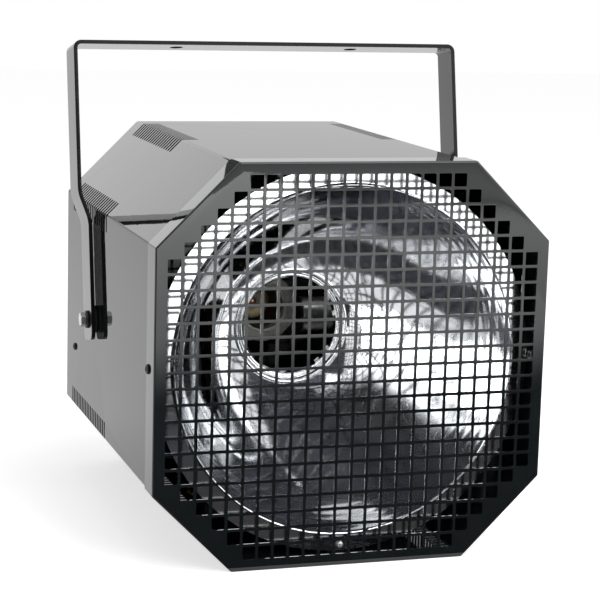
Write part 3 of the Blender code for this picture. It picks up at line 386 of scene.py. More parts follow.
RIPPLES = ((3, 1.3, 31, 0.6), (7, 0.0, -55, 0.25), (13, 2.2, 90, 0.15))
STILL_AT_MOUTH = 0.004
STILL_AT_NECK = 0.006
STILL_FADE = 0.02
MIRROR_COLOUR = (0.90, 0.91, 0.925)
STAINED_MIRROR = (0.80, 0.82, 0.85)
CREASE_SCALE = 21.0
CREASE_WIDTH = 0.009
CREASE_DEPTH = 0.000007
BOWL_HAZE = (0.055, 0.085)
RING_HAZE = 0.11
MERGE = 0.000005


def all_over(piece, operator, **settings):
    """Run one mesh operator on the whole of a piece."""
    edit(piece)
    bpy.ops.mesh.select_all(action="SELECT")
    operator(**settings)
    done()


def outwards(piece):
    """Close a piece's seams and turn its faces outwards."""
    all_over(piece, bpy.ops.mesh.remove_doubles, threshold=MERGE)
    all_over(piece, bpy.ops.mesh.normals_make_consistent, inside=False)


def turned(name, points, steps, solid=True):
    """Turn a line of (radius, height) points about Z, as on a lathe."""
    bpy.ops.mesh.primitive_plane_add(size=1, location=(0, 0, 0))
    made = bpy.context.object
    made.name = name
    edit(made, "VERT")
    bpy.ops.mesh.select_all(action="SELECT")
    bpy.ops.mesh.merge(type="CENTER")
    radius, height = points[0]
    bpy.ops.transform.translate(value=(radius, 0, height))
    for before, after in zip(points, points[1:]):
        step = (after[0] - before[0], 0, after[1] - before[1])
        bpy.ops.mesh.extrude_region_move(TRANSFORM_OT_translate={"value": step})
    done()
    change(made, "SCREW", steps=steps, render_steps=steps, use_merge_vertices=True, merge_threshold=0.00001)
    if solid:
        outwards(made)
    return made


def put(piece, place, facing):
    """Turn a piece that was made along Z to face this way, and move it to its place."""
    take(piece)
    piece.rotation_euler = Vector(facing).to_track_quat("Z", "Y").to_euler()
    piece.location = place
    bpy.ops.object.transform_apply(location=True, rotation=True, scale=True)


def rounded(before, corner, after, steps=5):
    """Points of a soft bend, which leaves one line and joins the next."""
    before, corner, after = Vector(before), Vector(corner), Vector(after)
    shares = [step / steps for step in range(steps + 1)]
    return [tuple(before.lerp(corner, share).lerp(corner.lerp(after, share), share)) for share in shares]


def spun_profile():
    """The mirror side of the bowl, from the rim inwards, as (radius, depth behind the cover's face)."""
    wall_rear, wall_front = RING_DEPTH - RING_BEND, MOUTH_DEPTH + LIP_BEND
    points = [(radius, RING_DEPTH) for radius in (RING_OUTER, RING_OUTER - 2 * HOLD,
                                                  RING_INNER + 2 * HOLD, RING_INNER + HOLD)]
    points += rounded((RING_INNER, RING_DEPTH), (LIP_OUTER + WALL_LEAN, RING_DEPTH), (LIP_OUTER, wall_rear))
    points += [(LIP_OUTER, wall_rear - HOLD), (LIP_OUTER, wall_front + HOLD)]
    points += rounded((LIP_OUTER, wall_front), (LIP_OUTER - WALL_LEAN / 2, MOUTH_DEPTH - LIP_CREST),
                      (MOUTH - LIP_INNER, MOUTH_DEPTH + LIP_FALL), LIP_STEPS)
    spun = [MOUTH - LIP_INNER + (GROOVED - MOUTH) * step / GROOVE_STEPS for step in range(1, GROOVE_STEPS)]
    spun += [GROOVED + (BEAD_OUTER - GROOVED) * step / BOWL_STEPS for step in range(BOWL_STEPS + 1)]
    for radius in spun:
        share = (MOUTH ** 2 - radius ** 2) / (MOUTH ** 2 - BEAD_OUTER ** 2)
        share += BOWL_SWELL * share * (1 - share)
        groove = max(0.0, radius - GROOVED) / (MOUTH - GROOVED) * GROOVE_DEPTH
        wave = groove * math.sin(2 * math.pi * radius / GROOVE_PITCH)
        points.append((radius + wave, MOUTH_DEPTH + share * (BEAD_DEPTH - MOUTH_DEPTH) + wave))
    count = BEAD_STEPS * BEAD_COUNT
    for step in range(1, count + 1):
        share = step / count
        rise = BEAD_HEIGHT * abs(math.sin(math.pi * BEAD_COUNT * share)) ** 0.8
        points.append((BEAD_OUTER + (NECK - BEAD_OUTER) * share, BEAD_DEPTH + NECK_LENGTH * share - rise))
    return points


def mirror_metal():
    """Polished spun aluminium: fine rings from the tool, and the creases and scuffs of thin sheet."""
    mirror = Finish("spun_mirror_aluminium", metallic=1.0)
    centred = mirror.node("VectorMath", mirror.place, (0, 0, LAMP_AXIS_Z), operation="SUBTRACT")
    flat = mirror.node("VectorMath", centred.outputs[0], (1, 0, 1), operation="MULTIPLY")
    radius = mirror.node("VectorMath", flat.outputs[0], operation="LENGTH").outputs["Value"]
    worn = mirror.spread(mirror.noise(22.0, 6.0, 0.62), 0.4, 0.8, *BOWL_HAZE)
    on_ring = mirror.spread(radius, MOUTH, LIP_OUTER, 0.0, RING_HAZE)
    mirror.give("Roughness", mirror.math("MAXIMUM", worn, on_ring))
    stain = mirror.spread(mirror.noise(9.0, 3.0), 0.4, 0.75)
    mirror.give("Base Color", mirror.mix(stain, MIRROR_COLOUR, STAINED_MIRROR))
    rings = mirror.node("TexNoise", noise_dimensions="1D", scale=700.0, detail=3.0)
    mirror.feed(rings.inputs["W"], radius)
    spun = mirror.bump(rings.outputs["Fac"], 0.0000008)
    wander = mirror.math("SUBTRACT", mirror.noise(CREASE_SCALE, 1.5, distortion=1.6), 0.5)
    crease = mirror.spread(mirror.math("ABSOLUTE", wander), 0.0, CREASE_WIDTH)
    mirror.give("Normal", mirror.bump(crease, CREASE_DEPTH, spun))
    return mirror.material


cover_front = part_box("front_cover")[0].y
mirror_side = [(radius, -depth) for radius, depth in spun_profile()]
reflector = turned("reflector_bowl", mirror_side, SPIN_STEPS, False)
put(reflector, (0, cover_front, LAMP_AXIS_Z), (0, -1, 0))
for vert in reflector.data.vertices:
    out = Vector((vert.co.x, 0, vert.co.z - LAMP_AXIS_Z))
    depth = vert.co.y - cover_front
    from_mouth, from_neck = MOUTH - STILL_AT_MOUTH - out.length, BEAD_DEPTH - STILL_AT_NECK - depth
    if from_mouth > 0 and from_neck > 0:
        angle = math.atan2(out.z, out.x)
        calm = min(1.0, from_mouth / STILL_FADE, from_neck / STILL_FADE)
        ripple = sum(share * math.sin(count * angle + offset + depth * lean)
                     for count, offset, lean, share in RIPPLES)
        vert.co += out.normalized() * RIPPLE * ripple * calm
all_over(reflector, bpy.ops.mesh.normals_make_consistent, inside=False)
if min(reflector.data.polygons, key=lambda face: face.center.y).normal.y > 0:
    all_over(reflector, bpy.ops.mesh.flip_normals)
change(reflector, "SOLIDIFY", thickness=REFLECTOR_WALL, offset=-1, use_even_offset=True)
ring_front, ring_rear = (cover_front + RING_DEPTH + gap for gap in (-5 * REFLECTOR_WALL, 5 * REFLECTOR_WALL))
cut(reflector, [add_rod(SMALL_HOLE, (0, ring_front, z), (0, ring_rear, z), "rim_tool")
                for z in (LAMP_AXIS_Z - RIM_SCREW_RADIUS, LAMP_AXIS_Z + RIM_SCREW_RADIUS)])
smooth(reflector, 35)
fit(reflector, "reflector", mirror_metal())

# Reflector screws and nuts
# Two zinc-plated pan-head screws, M4 with a cross recess, hold the ring to a bracket above and one
# below, each with a hexagon nut behind.
SMALL_SHANK = 0.0038
SMALL_HEAD = 0.0078
SMALL_HEAD_HEIGHT = 0.0021
HEAD_RIM = 0.28
HEAD_SOFT = 0.0002
TIP_TAPER = 0.1
SCREW_STEPS = 32
RECESS_ARM = 0.27
RECESS_WIDTH = 0.14
RECESS_DEPTH = 0.55
RECESS_EDGE = 0.0001
HEX_FLAT = 0.96
HEX_CHAMFER = 28
HEX_STEPS = 48
HEX_ROOM = 1.0005
NUT_COUNTERSINK = 0.0006
NUT_THREAD = 0.0007
NUT_THREAD_DEPTH = 0.00025
NUT_STEPS = 24
NUT_EDGE = 0.00012
RIM_NUT_BORE = 0.0044
ROUND_STEPS = 5
BARE_ZINC = (0.60, 0.61, 0.61)


def seat_of(node, facing, height):
    """The point on a node's axis that lies this far below its top, with the top on the facing side."""
    low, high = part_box(node)
    facing = Vector(facing)
    return (low + high) / 2 + facing * (abs((high - low).dot(facing)) / 2 - height)


def length_of(node, facing):
    low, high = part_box(node)
    return abs((high - low).dot(Vector(facing)))


def arc(across, height, radius, start, end, steps=ROUND_STEPS, rise=None):
    """Points of (radius, height) along a rounding, between two angles in degrees; a rise makes it oval."""
    turns = [math.radians(start + (end - start) * step / steps) for step in range(steps + 1)]
    return [(across + radius * math.cos(turn), height + (rise or radius) * math.sin(turn)) for turn in turns]


def pan_screw(name, node, facing, finish, head=SMALL_HEAD, head_height=SMALL_HEAD_HEIGHT, shank=SMALL_SHANK):
    """Pan-head screw with a cross recess, its head proud of the seat and its shank below it."""
    length = length_of(node, facing) - head_height
    rim = head_height * HEAD_RIM
    points = [(0, -length), (shank * (0.5 - TIP_TAPER), -length), (shank / 2, shank * TIP_TAPER - length),
              (shank / 2, 0), (head / 2 - HEAD_SOFT, 0), (head / 2, HEAD_SOFT)]
    points += arc(0, rim, head / 2, 0, 90, 6, head_height - rim)[:-1] + [(0, head_height)]
    made = turned(name, points, SCREW_STEPS)
    floor_z = head_height * (1 - RECESS_DEPTH)
    arm, half = head * RECESS_ARM, head * RECESS_WIDTH / 2
    for x, y in ((arm, half), (half, arm)):
        cut(made, [add_block((-x, -y, floor_z), (x, y, 2 * head_height), "recess_tool")])
    ease(made, RECESS_EDGE, 1, 35)
    put(made, seat_of(node, facing, head_height), facing)
    fit(made, node, finish)


def hexagon(name, across, low, high, both_ends=False):
    """Hexagon with its corners turned back by a chamfer, on one end or on both."""
    radius, flat = across / math.sqrt(3), across / 2 * HEX_FLAT
    drop = (radius - flat) * math.tan(math.radians(HEX_CHAMFER))
    made = add_rod(radius, (0, 0, low), (0, 0, high), name, 6)
    start = [(0, low), (flat, low), (radius, low + drop)] if both_ends else [(0, low), (radius, low)]
    tool = turned("chamfer_tool", start + [(radius, high - drop), (flat, high), (0, high)], HEX_STEPS)
    tool.scale = (HEX_ROOM, HEX_ROOM, 1)
    cut(made, [tool], "INTERSECT")
    return made


def hex_nut(name, node, facing, bore, finish):
    """Chamfered hexagon nut with a countersunk, threaded bore."""
    low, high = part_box(node)
    thickness = length_of(node, facing)
    across = min(size for axis, size in enumerate(high - low) if abs(facing[axis]) < 0.5)
    made = hexagon(name, across, 0, thickness, True)
    mouth = bore / 2 + NUT_COUNTERSINK
    points = [(0, -thickness), (mouth, -thickness), (mouth, 0), (bore / 2, NUT_COUNTERSINK)]
    turns = max(4, int(thickness / NUT_THREAD))
    pitch = (thickness - 2 * NUT_COUNTERSINK) / turns
    for step in range(turns):
        height = NUT_COUNTERSINK + pitch * (step + 0.5)
        points += [(bore / 2 - NUT_THREAD_DEPTH, height), (bore / 2, height + pitch / 2)]
    points += [(mouth, thickness), (mouth, 2 * thickness), (0, 2 * thickness)]
    cut(made, [turned("bore_tool", points, NUT_STEPS)])
    ease(made, NUT_EDGE, 1, 40)
    put(made, seat_of(node, facing, thickness), facing)
    fit(made, node, finish)


def plated(name, colour, rough=0.28, metal=1.0, mottle=60.0):
    """Rolled or plated metal with a cloudy finish and fine pits."""
    plate = Finish(name, metallic=metal)
    cloud = plate.noise(mottle, 5.0, 0.6)
    plate.give("Base Color", plate.mix(plate.spread(cloud, 0.35, 0.7), times(colour, 0.72), colour))
    plate.give("Roughness", plate.spread(cloud, 0.3, 0.75, rough * 1.3, rough * 0.8))
    plate.give("Normal", plate.bump(plate.noise(900.0, 3.0), 0.00003))
    return plate.material


zinc = plated("bright_zinc_plate", BARE_ZINC)
for end_name in ("top", "bottom"):
    pan_screw("rim_screw_" + end_name, "reflector_screw_" + end_name, (0, -1, 0), zinc)
    hex_nut("rim_nut_" + end_name, "reflector_nut_" + end_name, (0, 1, 0), RIM_NUT_BORE, zinc)

# Reflector brackets
# Two angles of 1.5 mm steel, welded inside the top and the bottom panel and coated with them, to which
# the reflector's ring is screwed.
SHEET_EASE = 0.0003
FLAT_ENOUGH = 0.5


def refined(name, node, width, finish, steps=2, angle=30):
    """A copy of a node's mesh, merged into clean faces, with its edges eased and its finish on."""
    copy = frame["nodes"][node].copy()
    copy.data = frame["nodes"][node].data.copy()
    copy.name = name
    bpy.context.scene.collection.objects.link(copy)
    matrix = copy.matrix_world.copy()
    copy.parent = None
    copy.matrix_world = matrix
    all_over(copy, bpy.ops.mesh.remove_doubles, threshold=MERGE)
    all_over(copy, bpy.ops.mesh.dissolve_limited, angle_limit=math.radians(FLAT_ENOUGH))
    bpy.ops.object.transform_apply(location=True, rotation=True, scale=True)
    if width:
        ease(copy, width, steps, angle)
    else:
        smooth(copy, angle)
    fit(copy, node, finish)


for end_name in ("top", "bottom"):
    refined("rim_bracket_" + end_name, "reflector_bracket_" + end_name, SHEET_EASE, coat_black)

# Lampholder
# A glazed porcelain cup with an Edison screw shell of rolled brass, and a copper contact on a spring at
# its foot. It looks forward through the reflector's neck.
HOLDER_RADIUS = 0.0365
HOLDER_LENGTH = 0.060
HOLDER_BORE = 0.0225
HOLDER_FLOOR = 0.0122
HOLDER_EDGE = 0.003
HOLDER_LIP = 0.0016
HOLDER_GROOVE = 0.0014
GROOVE_FOOT = 0.030
GROOVE_TOP = 0.037
GROOVE_SLOPE = 0.0015
RIM_DIP = 0.001
CONTACT_HOLE = 0.0043
SCREW_SPACING = 0.052
SHELL_RADIUS = 0.0202
SHELL_TOP = 0.0597
SHELL_THREAD_END = 0.0216
SHELL_FLOOR = 0.013
SHELL_FLOOR_HOLE = 0.0086
SHELL_FLOOR_BEND = 0.001
SHELL_WALL = 0.0005
THREAD_HEIGHT = 0.0011
THREAD_PITCH = 0.00635
THREAD_STEPS = 84
CONTACT_RADIUS = 0.004
CONTACT_EDGE = 0.0005
CONTACT_CROWN = 0.002
# Painted shade: the holder's porcelain is given a grey much darker than its real pale glaze, for the dim
# inside of the reflector's neck.
HOLDER_PORCELAIN_PAINTED_SHADE = (0.42, 0.42, 0.38)
SPECK_BROWN = (0.12, 0.09, 0.06)
OLD_BRASS = (0.27, 0.23, 0.14)
BARE_COPPER = (0.72, 0.40, 0.26)


def porcelain(name, colour):
    """Glazed porcelain under a clear glaze in the colour given, with fine specks and a slow waviness; the
    lampholder's colour is darkened as painted shade.
    """
    glaze = Finish(name, coat=0.8, coat_roughness=0.08, roughness=0.35)
    body = glaze.mix(glaze.spread(glaze.noise(30.0, 4.0, 0.6), 0.35, 0.7), times(colour, 0.82), colour)
    specks = glaze.spread(glaze.noise(900.0, 1.0), 0.70, 0.76)
    glaze.give("Base Color", glaze.mix(specks, body, SPECK_BROWN))
    glaze.give("Coat Normal", glaze.bump(glaze.noise(70.0), 0.00006))
    return glaze.material


holder_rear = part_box("lampholder_body")[1].y
groove, rim, lip = HOLDER_RADIUS - HOLDER_GROOVE, HOLDER_BORE + 3 * HOLDER_LIP, HOLDER_BORE + 2 * HOLDER_LIP
profile = [(CONTACT_HOLE, 0)] + arc(HOLDER_RADIUS - HOLDER_EDGE, HOLDER_EDGE, HOLDER_EDGE, -90, 0)
profile += [(HOLDER_RADIUS, GROOVE_FOOT), (groove, GROOVE_FOOT + GROOVE_SLOPE),
            (groove, GROOVE_TOP - GROOVE_SLOPE), (HOLDER_RADIUS, GROOVE_TOP)]
profile += arc(HOLDER_RADIUS - HOLDER_EDGE, HOLDER_LENGTH - HOLDER_EDGE, HOLDER_EDGE, 0, 90)
profile += [(rim + RIM_DIP, HOLDER_LENGTH), (rim, HOLDER_LENGTH - RIM_DIP),
            (lip, HOLDER_LENGTH - RIM_DIP), (lip - HOLDER_LIP / 2, HOLDER_LENGTH)]
profile += arc(HOLDER_BORE + HOLDER_LIP, HOLDER_LENGTH - HOLDER_LIP, HOLDER_LIP, 90, 180)
profile += [(HOLDER_BORE, HOLDER_FLOOR), (CONTACT_HOLE, HOLDER_FLOOR), (CONTACT_HOLE, 0)]
holder = turned("lampholder_porcelain", profile, 96)
put(holder, (0, holder_rear, LAMP_AXIS_Z), (0, -1, 0))
cut(holder, [add_rod(SMALL_HOLE, (side * SCREW_SPACING / 2, holder_rear - HOLDER_FLOOR, LAMP_AXIS_Z),
                     (side * SCREW_SPACING / 2, holder_rear + HOLDER_FLOOR, LAMP_AXIS_Z), "holder_tool")
             for side in SIDES.values()])
smooth(holder, 35)
# The porcelain colour here is painted shade: darker than the real glaze, for the shade inside the neck.
fit(holder, "lampholder_body", porcelain("glazed_porcelain_painted_shade", HOLDER_PORCELAIN_PAINTED_SHADE))

thread = [(SHELL_RADIUS, SHELL_TOP + (SHELL_THREAD_END - SHELL_TOP) * step / THREAD_STEPS)
          for step in range(THREAD_STEPS + 1)]
shell = turned("lampholder_screw_shell", thread + [(SHELL_RADIUS, SHELL_FLOOR + SHELL_FLOOR_BEND),
                                                   (SHELL_RADIUS - SHELL_FLOOR_BEND, SHELL_FLOOR),
                                                   (SHELL_FLOOR_HOLE, SHELL_FLOOR)], 72, False)
for vert in shell.data.vertices:
    if vert.co.z > SHELL_THREAD_END:
        angle = math.atan2(vert.co.y, vert.co.x)
        rise = math.cos(2 * math.pi * (SHELL_TOP - vert.co.z) / THREAD_PITCH + angle)
        calm = min(1.0, (vert.co.z - SHELL_THREAD_END) / THREAD_PITCH)
        out = Vector((vert.co.x, vert.co.y, 0)).normalized()
        vert.co += out * (THREAD_HEIGHT / 2 * rise * calm)
change(shell, "SOLIDIFY", thickness=SHELL_WALL, offset=-1)
put(shell, (0, holder_rear, LAMP_AXIS_Z), (0, -1, 0))
smooth(shell, 50)
fit(shell, "lampholder_shell", plated("tarnished_brass", OLD_BRASS, 0.34))

top = length_of("centre_contact", (0, 1, 0))
profile = [(0, 0)] + arc(CONTACT_RADIUS - CONTACT_EDGE, CONTACT_EDGE, CONTACT_EDGE, -90, 0, 2)
profile += arc(0, top - CONTACT_CROWN, CONTACT_RADIUS, 0, 80, 8, CONTACT_CROWN) + [(0, top)]
contact = turned("centre_contact_button", profile, 40)
put(contact, seat_of("centre_contact", (0, -1, 0), top), (0, -1, 0))
smooth(contact, 35)
fit(contact, "centre_contact", plated("worn_copper", BARE_COPPER, 0.3))

# Lampholder bracket and gear shelf
# Folded from zinc-plated sheet: the bracket stands on the shelf and takes the holder, and the shelf
# spans the housing from side to side, with a flange and a screw at each end.
SHEET_ZINC = (0.52, 0.53, 0.54)
OXIDE_BLACK = (0.03, 0.03, 0.032)

shelf_zinc = plated("dull_zinc_sheet", SHEET_ZINC, 0.36)
refined("holder_bracket", "lampholder_bracket", SHEET_EASE, shelf_zinc)
refined("gear_tray", "gear_shelf", SHEET_EASE, shelf_zinc)
black_screw = plated("black_oxide", OXIDE_BLACK, 0.38, 0.6)
for side_name, side in SIDES.items():
    for name, node, facing, finish in (("tray_screw_", "shelf_screw_", (side, 0, 0), black_screw),
                                       ("foot_screw_", "bracket_screw_", (0, 0, 1), zinc),
                                       ("body_screw_", "holder_screw_", (0, 1, 0), zinc)):
        pan_screw(name + side_name, node + side_name, facing, finish)

# Capacitor and terminal block
# A drawn aluminium can with a rolled bead and a crimped end, held down by a strap and one screw, and a
# porcelain block with its wires' clamping screws sunk in wells.
CAN_RADIUS = 0.020
CAN_EDGE = 0.002
CAN_SEAM = ((0.0045, 0), (0.0040, 0.0006), (0.0032, 0))
CAN_BEAD = 0.0125
CAN_BEAD_PITCH = 0.001
CAN_BEAD_DIPS = (0, 0.0004, 0.0010, 0.0004, 0)
CAN_RIM = 0.0009
CAN_LID_DEPTH = 0.0030
CAN_LID = ((0.0018, 0), (0.0060, 0.0002))
CAN_ALUMINIUM = (0.72, 0.73, 0.74)
STRAP_EASE = 0.0002
BLOCK_EASE = 0.0007
BLOCK_WHITE = (0.70, 0.68, 0.63)

half = length_of("capacitor", (1, 0, 0)) / 2
profile = [(0, -half)] + [(CAN_RADIUS - inset, rise - half) for inset, rise in CAN_SEAM]
profile += arc(CAN_RADIUS - CAN_EDGE, CAN_EDGE - half, CAN_EDGE, -75, 0)
profile += [(CAN_RADIUS - dip, half - CAN_BEAD + CAN_BEAD_PITCH * step)
            for step, dip in enumerate(CAN_BEAD_DIPS)]
profile += arc(CAN_RADIUS - CAN_RIM, half - CAN_RIM, CAN_RIM, 0, 180)
profile += [(CAN_RADIUS - inset, half - CAN_LID_DEPTH - dip) for inset, dip in CAN_LID]
profile += [(0, half - CAN_LID_DEPTH)]
can = turned("capacitor_can", profile, 64)
low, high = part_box("capacitor")
put(can, (low + high) / 2, (1, 0, 0))
smooth(can, 35)
fit(can, "capacitor", plated("drawn_aluminium_can", CAN_ALUMINIUM, 0.3, mottle=25.0))
refined("capacitor_strap", "capacitor_clip", STRAP_EASE, shelf_zinc)
pan_screw("strap_screw", "clip_screw", (0, 0, 1), zinc)
refined("wire_block", "terminal_block", BLOCK_EASE, porcelain("white_porcelain", BLOCK_WHITE), 3)

# Ballast
# A choke of stacked iron laminations, dipped in varnish, with a taped coil through its window. Its base
# plate is bolted to the rear panel from behind, and the earth bolt beside it is brass.
LAMINATION = 0.0005
TAPE_TURN = 0.0016
CORE_EASE = 0.0005
COIL_EASE = 0.0012
IRON_GREY = (0.13, 0.13, 0.135)
IRON_GAP = (0.05, 0.05, 0.055)
TAPE_AMBER = (0.40, 0.19, 0.06)
TAPE_SHADE = (0.26, 0.11, 0.03)
PLATE_GREY = (0.11, 0.11, 0.115)
NEW_BRASS = (0.70, 0.53, 0.26)
SMALL_HEX = 0.008
SMALL_HEX_HEIGHT = 0.0035
SMALL_BOLT_SHANK = 0.0048
WASHER_FACE = 0.0003
WASHER_SHARE = 0.94
BOLT_TIP = 0.0005
BOLT_THREADED = 0.6
BOLT_PITCH = 0.16
BOLT_THREAD = ((0, 0.3), (0.4, 0.6), (0, 0.95))
BOLT_STEPS = 32
BOLT_EDGE = 0.00015


def striped(name, colour, other, axis, pitch, rough, metal, depth):
    """Edges of thin layers seen side by side: stacked laminations, or turns under varnish."""
    stack = Finish(name, metallic=metal, coat=0.4, coat_roughness=0.2)
    across = stack.node("SeparateXYZ", stack.place).outputs[axis]
    layers = stack.spread(stack.math("SINE", stack.math("MULTIPLY", across, 2 * math.pi / pitch)), -1.0, 1.0)
    cloud = stack.noise(45.0, 5.0, 0.6)
    stack.give("Base Color", stack.mix(stack.spread(cloud, 0.35, 0.75, 0.0, 0.6),
                                       stack.mix(layers, colour, other), times(colour, 0.5)))
    stack.give("Roughness", stack.spread(cloud, 0.3, 0.7, rough * 0.8, rough * 1.2))
    stack.give("Normal", stack.bump(layers, depth))
    return stack.material


def hex_bolt(name, node, facing, finish, across=SMALL_HEX, head=SMALL_HEX_HEIGHT, shank=SMALL_BOLT_SHANK):
    """Hexagon bolt with a chamfered head, a washer face and a threaded shank."""
    length = length_of(node, facing) - head
    made = hexagon(name, across, WASHER_FACE, head)
    points = [(0, -length), (shank / 2 - BOLT_TIP, -length), (shank / 2, BOLT_TIP - length)]
    pitch = shank * BOLT_PITCH
    for step in range(int(length * BOLT_THREADED / pitch)):
        height = BOLT_TIP - length + pitch * step
        points += [(shank / 2 - pitch * dip, height + pitch * rise) for dip, rise in BOLT_THREAD]
    washer = across / 2 * WASHER_SHARE
    points += [(shank / 2, 0), (washer, 0), (washer, head / 2), (0, head / 2)]
    cut(made, [turned("shank_tool", points, BOLT_STEPS)], "UNION")
    ease(made, BOLT_EDGE, 2, 40)
    put(made, seat_of(node, facing, head), facing)
    fit(made, node, finish)


refined("choke_laminations", "ballast_core", CORE_EASE,
        striped("laminated_iron", IRON_GREY, IRON_GAP, "Z", 2 * LAMINATION, 0.45, 0.7, 0.00008))
refined("choke_plate", "ballast_plate", CORE_EASE, plated("varnished_plate", PLATE_GREY, 0.45, 0.7))
refined("choke_coil", "ballast_coil", COIL_EASE,
        striped("varnished_tape", TAPE_AMBER, TAPE_SHADE, "X", TAPE_TURN, 0.35, 0.0, 0.0001), 3)
for side_name in SIDES:
    hex_bolt("choke_bolt_" + side_name, "ballast_bolt_" + side_name, (0, 1, 0), zinc)
hex_bolt("earth_stud", "earth_bolt", (0, 1, 0), plated("new_brass", NEW_BRASS, 0.25))

# Inside leads
# Two heat-proof silicone leads run from the terminal block to the holder, and a black one from the
# choke. Each is a round flexible wire.
SILICONE_RED = (0.50, 0.06, 0.045)
LEAD_BLACK = (0.02, 0.02, 0.021)

silicone = plated("silicone_lead", SILICONE_RED, 0.42, 0.0)
refined("lead_live", "lamp_lead_live", 0, silicone, angle=60)
refined("lead_neutral", "lamp_lead_neutral", 0, silicone, angle=60)
refined("choke_lead", "ballast_lead", 0, plated("black_lead", LEAD_BLACK, 0.5, 0.0), angle=60)

# Rear panel
# A tray of the housing's own sheet, pressed with a flange and coated black, that closes the back. It
# carries the choke, the earth bolt and the cable gland.
PANEL_EASE = 0.0006

refined("back_plate", "rear_panel", PANEL_EASE, coat_black, 3)

# Cable gland
# Black nylon in three pieces: a hexagon body through the panel, a locknut inside and a domed nut that
# grips the cable. The hole through it is clear.
GLAND_HEX = 0.024
GLAND_HEX_HEIGHT = 0.005
GLAND_NECK = 0.017
GLAND_THREAD = 0.0195
GLAND_BORE = 0.010
GLAND_DOME = 0.004
GLAND_MOUTH_WALL = 0.002
GLAND_INSIDE = 0.010
GLAND_EDGE = 0.0006
GLAND_EASE = 0.0002
GLAND_STEPS = 48
GLAND_TURNS = 6
GLAND_THREAD_PITCH = 0.0015
GLAND_THREAD_LAND = 0.0004
GLAND_THREAD_FOOT = 0.0009
DOME_STEPS = 72
FLUTE_COUNT = 12
FLUTE_RADIUS = 0.0016
FLUTE_OUT = 0.0009
FLUTE_REACH = 0.72
GAP = 0.0003
NYLON_BLACK = (0.022, 0.022, 0.024)


def moulded(name, colour, grain=700.0, rough=0.42):
    """Moulded nylon or rubber: matt, with a spark-eroded grain and paler scuffs in cloudy patches."""
    skin = Finish(name, ior=1.5)
    cloud = skin.noise(55.0, 5.0, 0.65)
    scuffed = tuple(part + 0.02 for part in colour)
    skin.give("Base Color", skin.mix(skin.spread(cloud, 0.5, 0.8), colour, scuffed))
    skin.give("Roughness", skin.spread(cloud, 0.3, 0.75, rough * 0.85, rough * 1.2))
    skin.give("Normal", skin.bump(skin.noise(grain, 3.0), 0.00006))
    return skin.material


nylon = moulded("black_nylon", NYLON_BLACK)
low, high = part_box("gland_body")
gland_x, gland_seat, gland_z = (low.x + high.x) / 2, low.y + GLAND_INSIDE, (low.z + high.z) / 2
nut_low, nut_high = (corner.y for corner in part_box("gland_nut"))
core, collar = GLAND_THREAD / 2 - GLAND_EDGE, GLAND_HEX_HEIGHT / 2
gland = hexagon("gland_hexagon", GLAND_HEX, 0, GLAND_HEX_HEIGHT)
thread = [(0, -GLAND_INSIDE), (core, -GLAND_INSIDE)]
for step in range(GLAND_TURNS):
    height = GLAND_EDGE - GLAND_INSIDE + GLAND_THREAD_PITCH * step
    thread += [(GLAND_THREAD / 2, height), (GLAND_THREAD / 2, height + GLAND_THREAD_LAND),
               (core, height + GLAND_THREAD_FOOT)]
thread += [(core, collar), (0, collar)]
neck_top = nut_high - GLAND_DOME - GAP - gland_seat
neck = [(0, collar), (GLAND_NECK / 2, collar), (GLAND_NECK / 2, neck_top), (0, neck_top)]
for tool, points in (("thread_tool", thread), ("neck_tool", neck)):
    cut(gland, [turned(tool, points, GLAND_STEPS)], "UNION")
reach = 2 * (high.y - low.y)
cut(gland, [add_rod(GLAND_BORE / 2, (0, 0, -reach), (0, 0, reach), "bore_tool", GLAND_STEPS)])
ease(gland, GLAND_EASE, 2, 35)
put(gland, (gland_x, gland_seat, gland_z), (0, 1, 0))
fit(gland, "gland_body", nylon)

height = nut_high - nut_low
roof = height - GLAND_DOME
outer, lip, neck = GLAND_HEX / 2, GLAND_BORE / 2 + GLAND_MOUTH_WALL, GLAND_NECK / 2 + GAP
profile = [(neck, 0), (outer - GLAND_EDGE, 0), (outer, GLAND_EDGE), (outer, roof - GLAND_DOME / 2)]
profile += arc(lip, roof - GLAND_DOME / 2, outer - lip, 10, 90, 8, GLAND_DOME * 1.5)
profile += [(GLAND_BORE / 2 + GLAND_EDGE, height), (GLAND_BORE / 2, height - GLAND_EDGE),
            (GLAND_BORE / 2, roof), (neck, roof), (neck, 0)]
dome = turned("gland_dome_nut", profile, DOME_STEPS)
flutes = []
for step in range(FLUTE_COUNT):
    turn = 2 * math.pi * (step + 0.5) / FLUTE_COUNT
    x, y = (outer + FLUTE_OUT) * math.cos(turn), (outer + FLUTE_OUT) * math.sin(turn)
    flutes.append(add_rod(FLUTE_RADIUS, (x, y, -FLUTE_OUT), (x, y, height * FLUTE_REACH), "flute_tool", 16))
cut(dome, flutes)
ease(dome, GLAND_EASE, 2, 35)
put(dome, (gland_x, nut_low, gland_z), (0, 1, 0))
fit(dome, "gland_nut", nylon)
hex_nut("gland_lock_ring", "gland_locknut", (0, -1, 0), GLAND_THREAD + GLAND_EDGE, nylon)

# Front cover
# A tray of 1.2 mm steel that slips over the front of the housing. A press has punched 516 square holes
# through it, stepped in at the cut corners, and a screw in each side holds it.
COVER_HALF = 0.190
COVER_LEG = 0.076
COVER_FOLD = 0.0022
HOLE_COUNT = 24
HOLE_PITCH = 0.015
HOLE_SIZE = 0.0123
HOLE_CORNER = 0.0011
CORNER_STEPS = 5
GRILLE_SEAM = 0.001
COVER_SCREW_HOLE = 0.0027
COVER_EDGE = 0.00018
COVER_BLACK = (0.0055, 0.0072, 0.0078)
COVER_GLOSS = 1.0

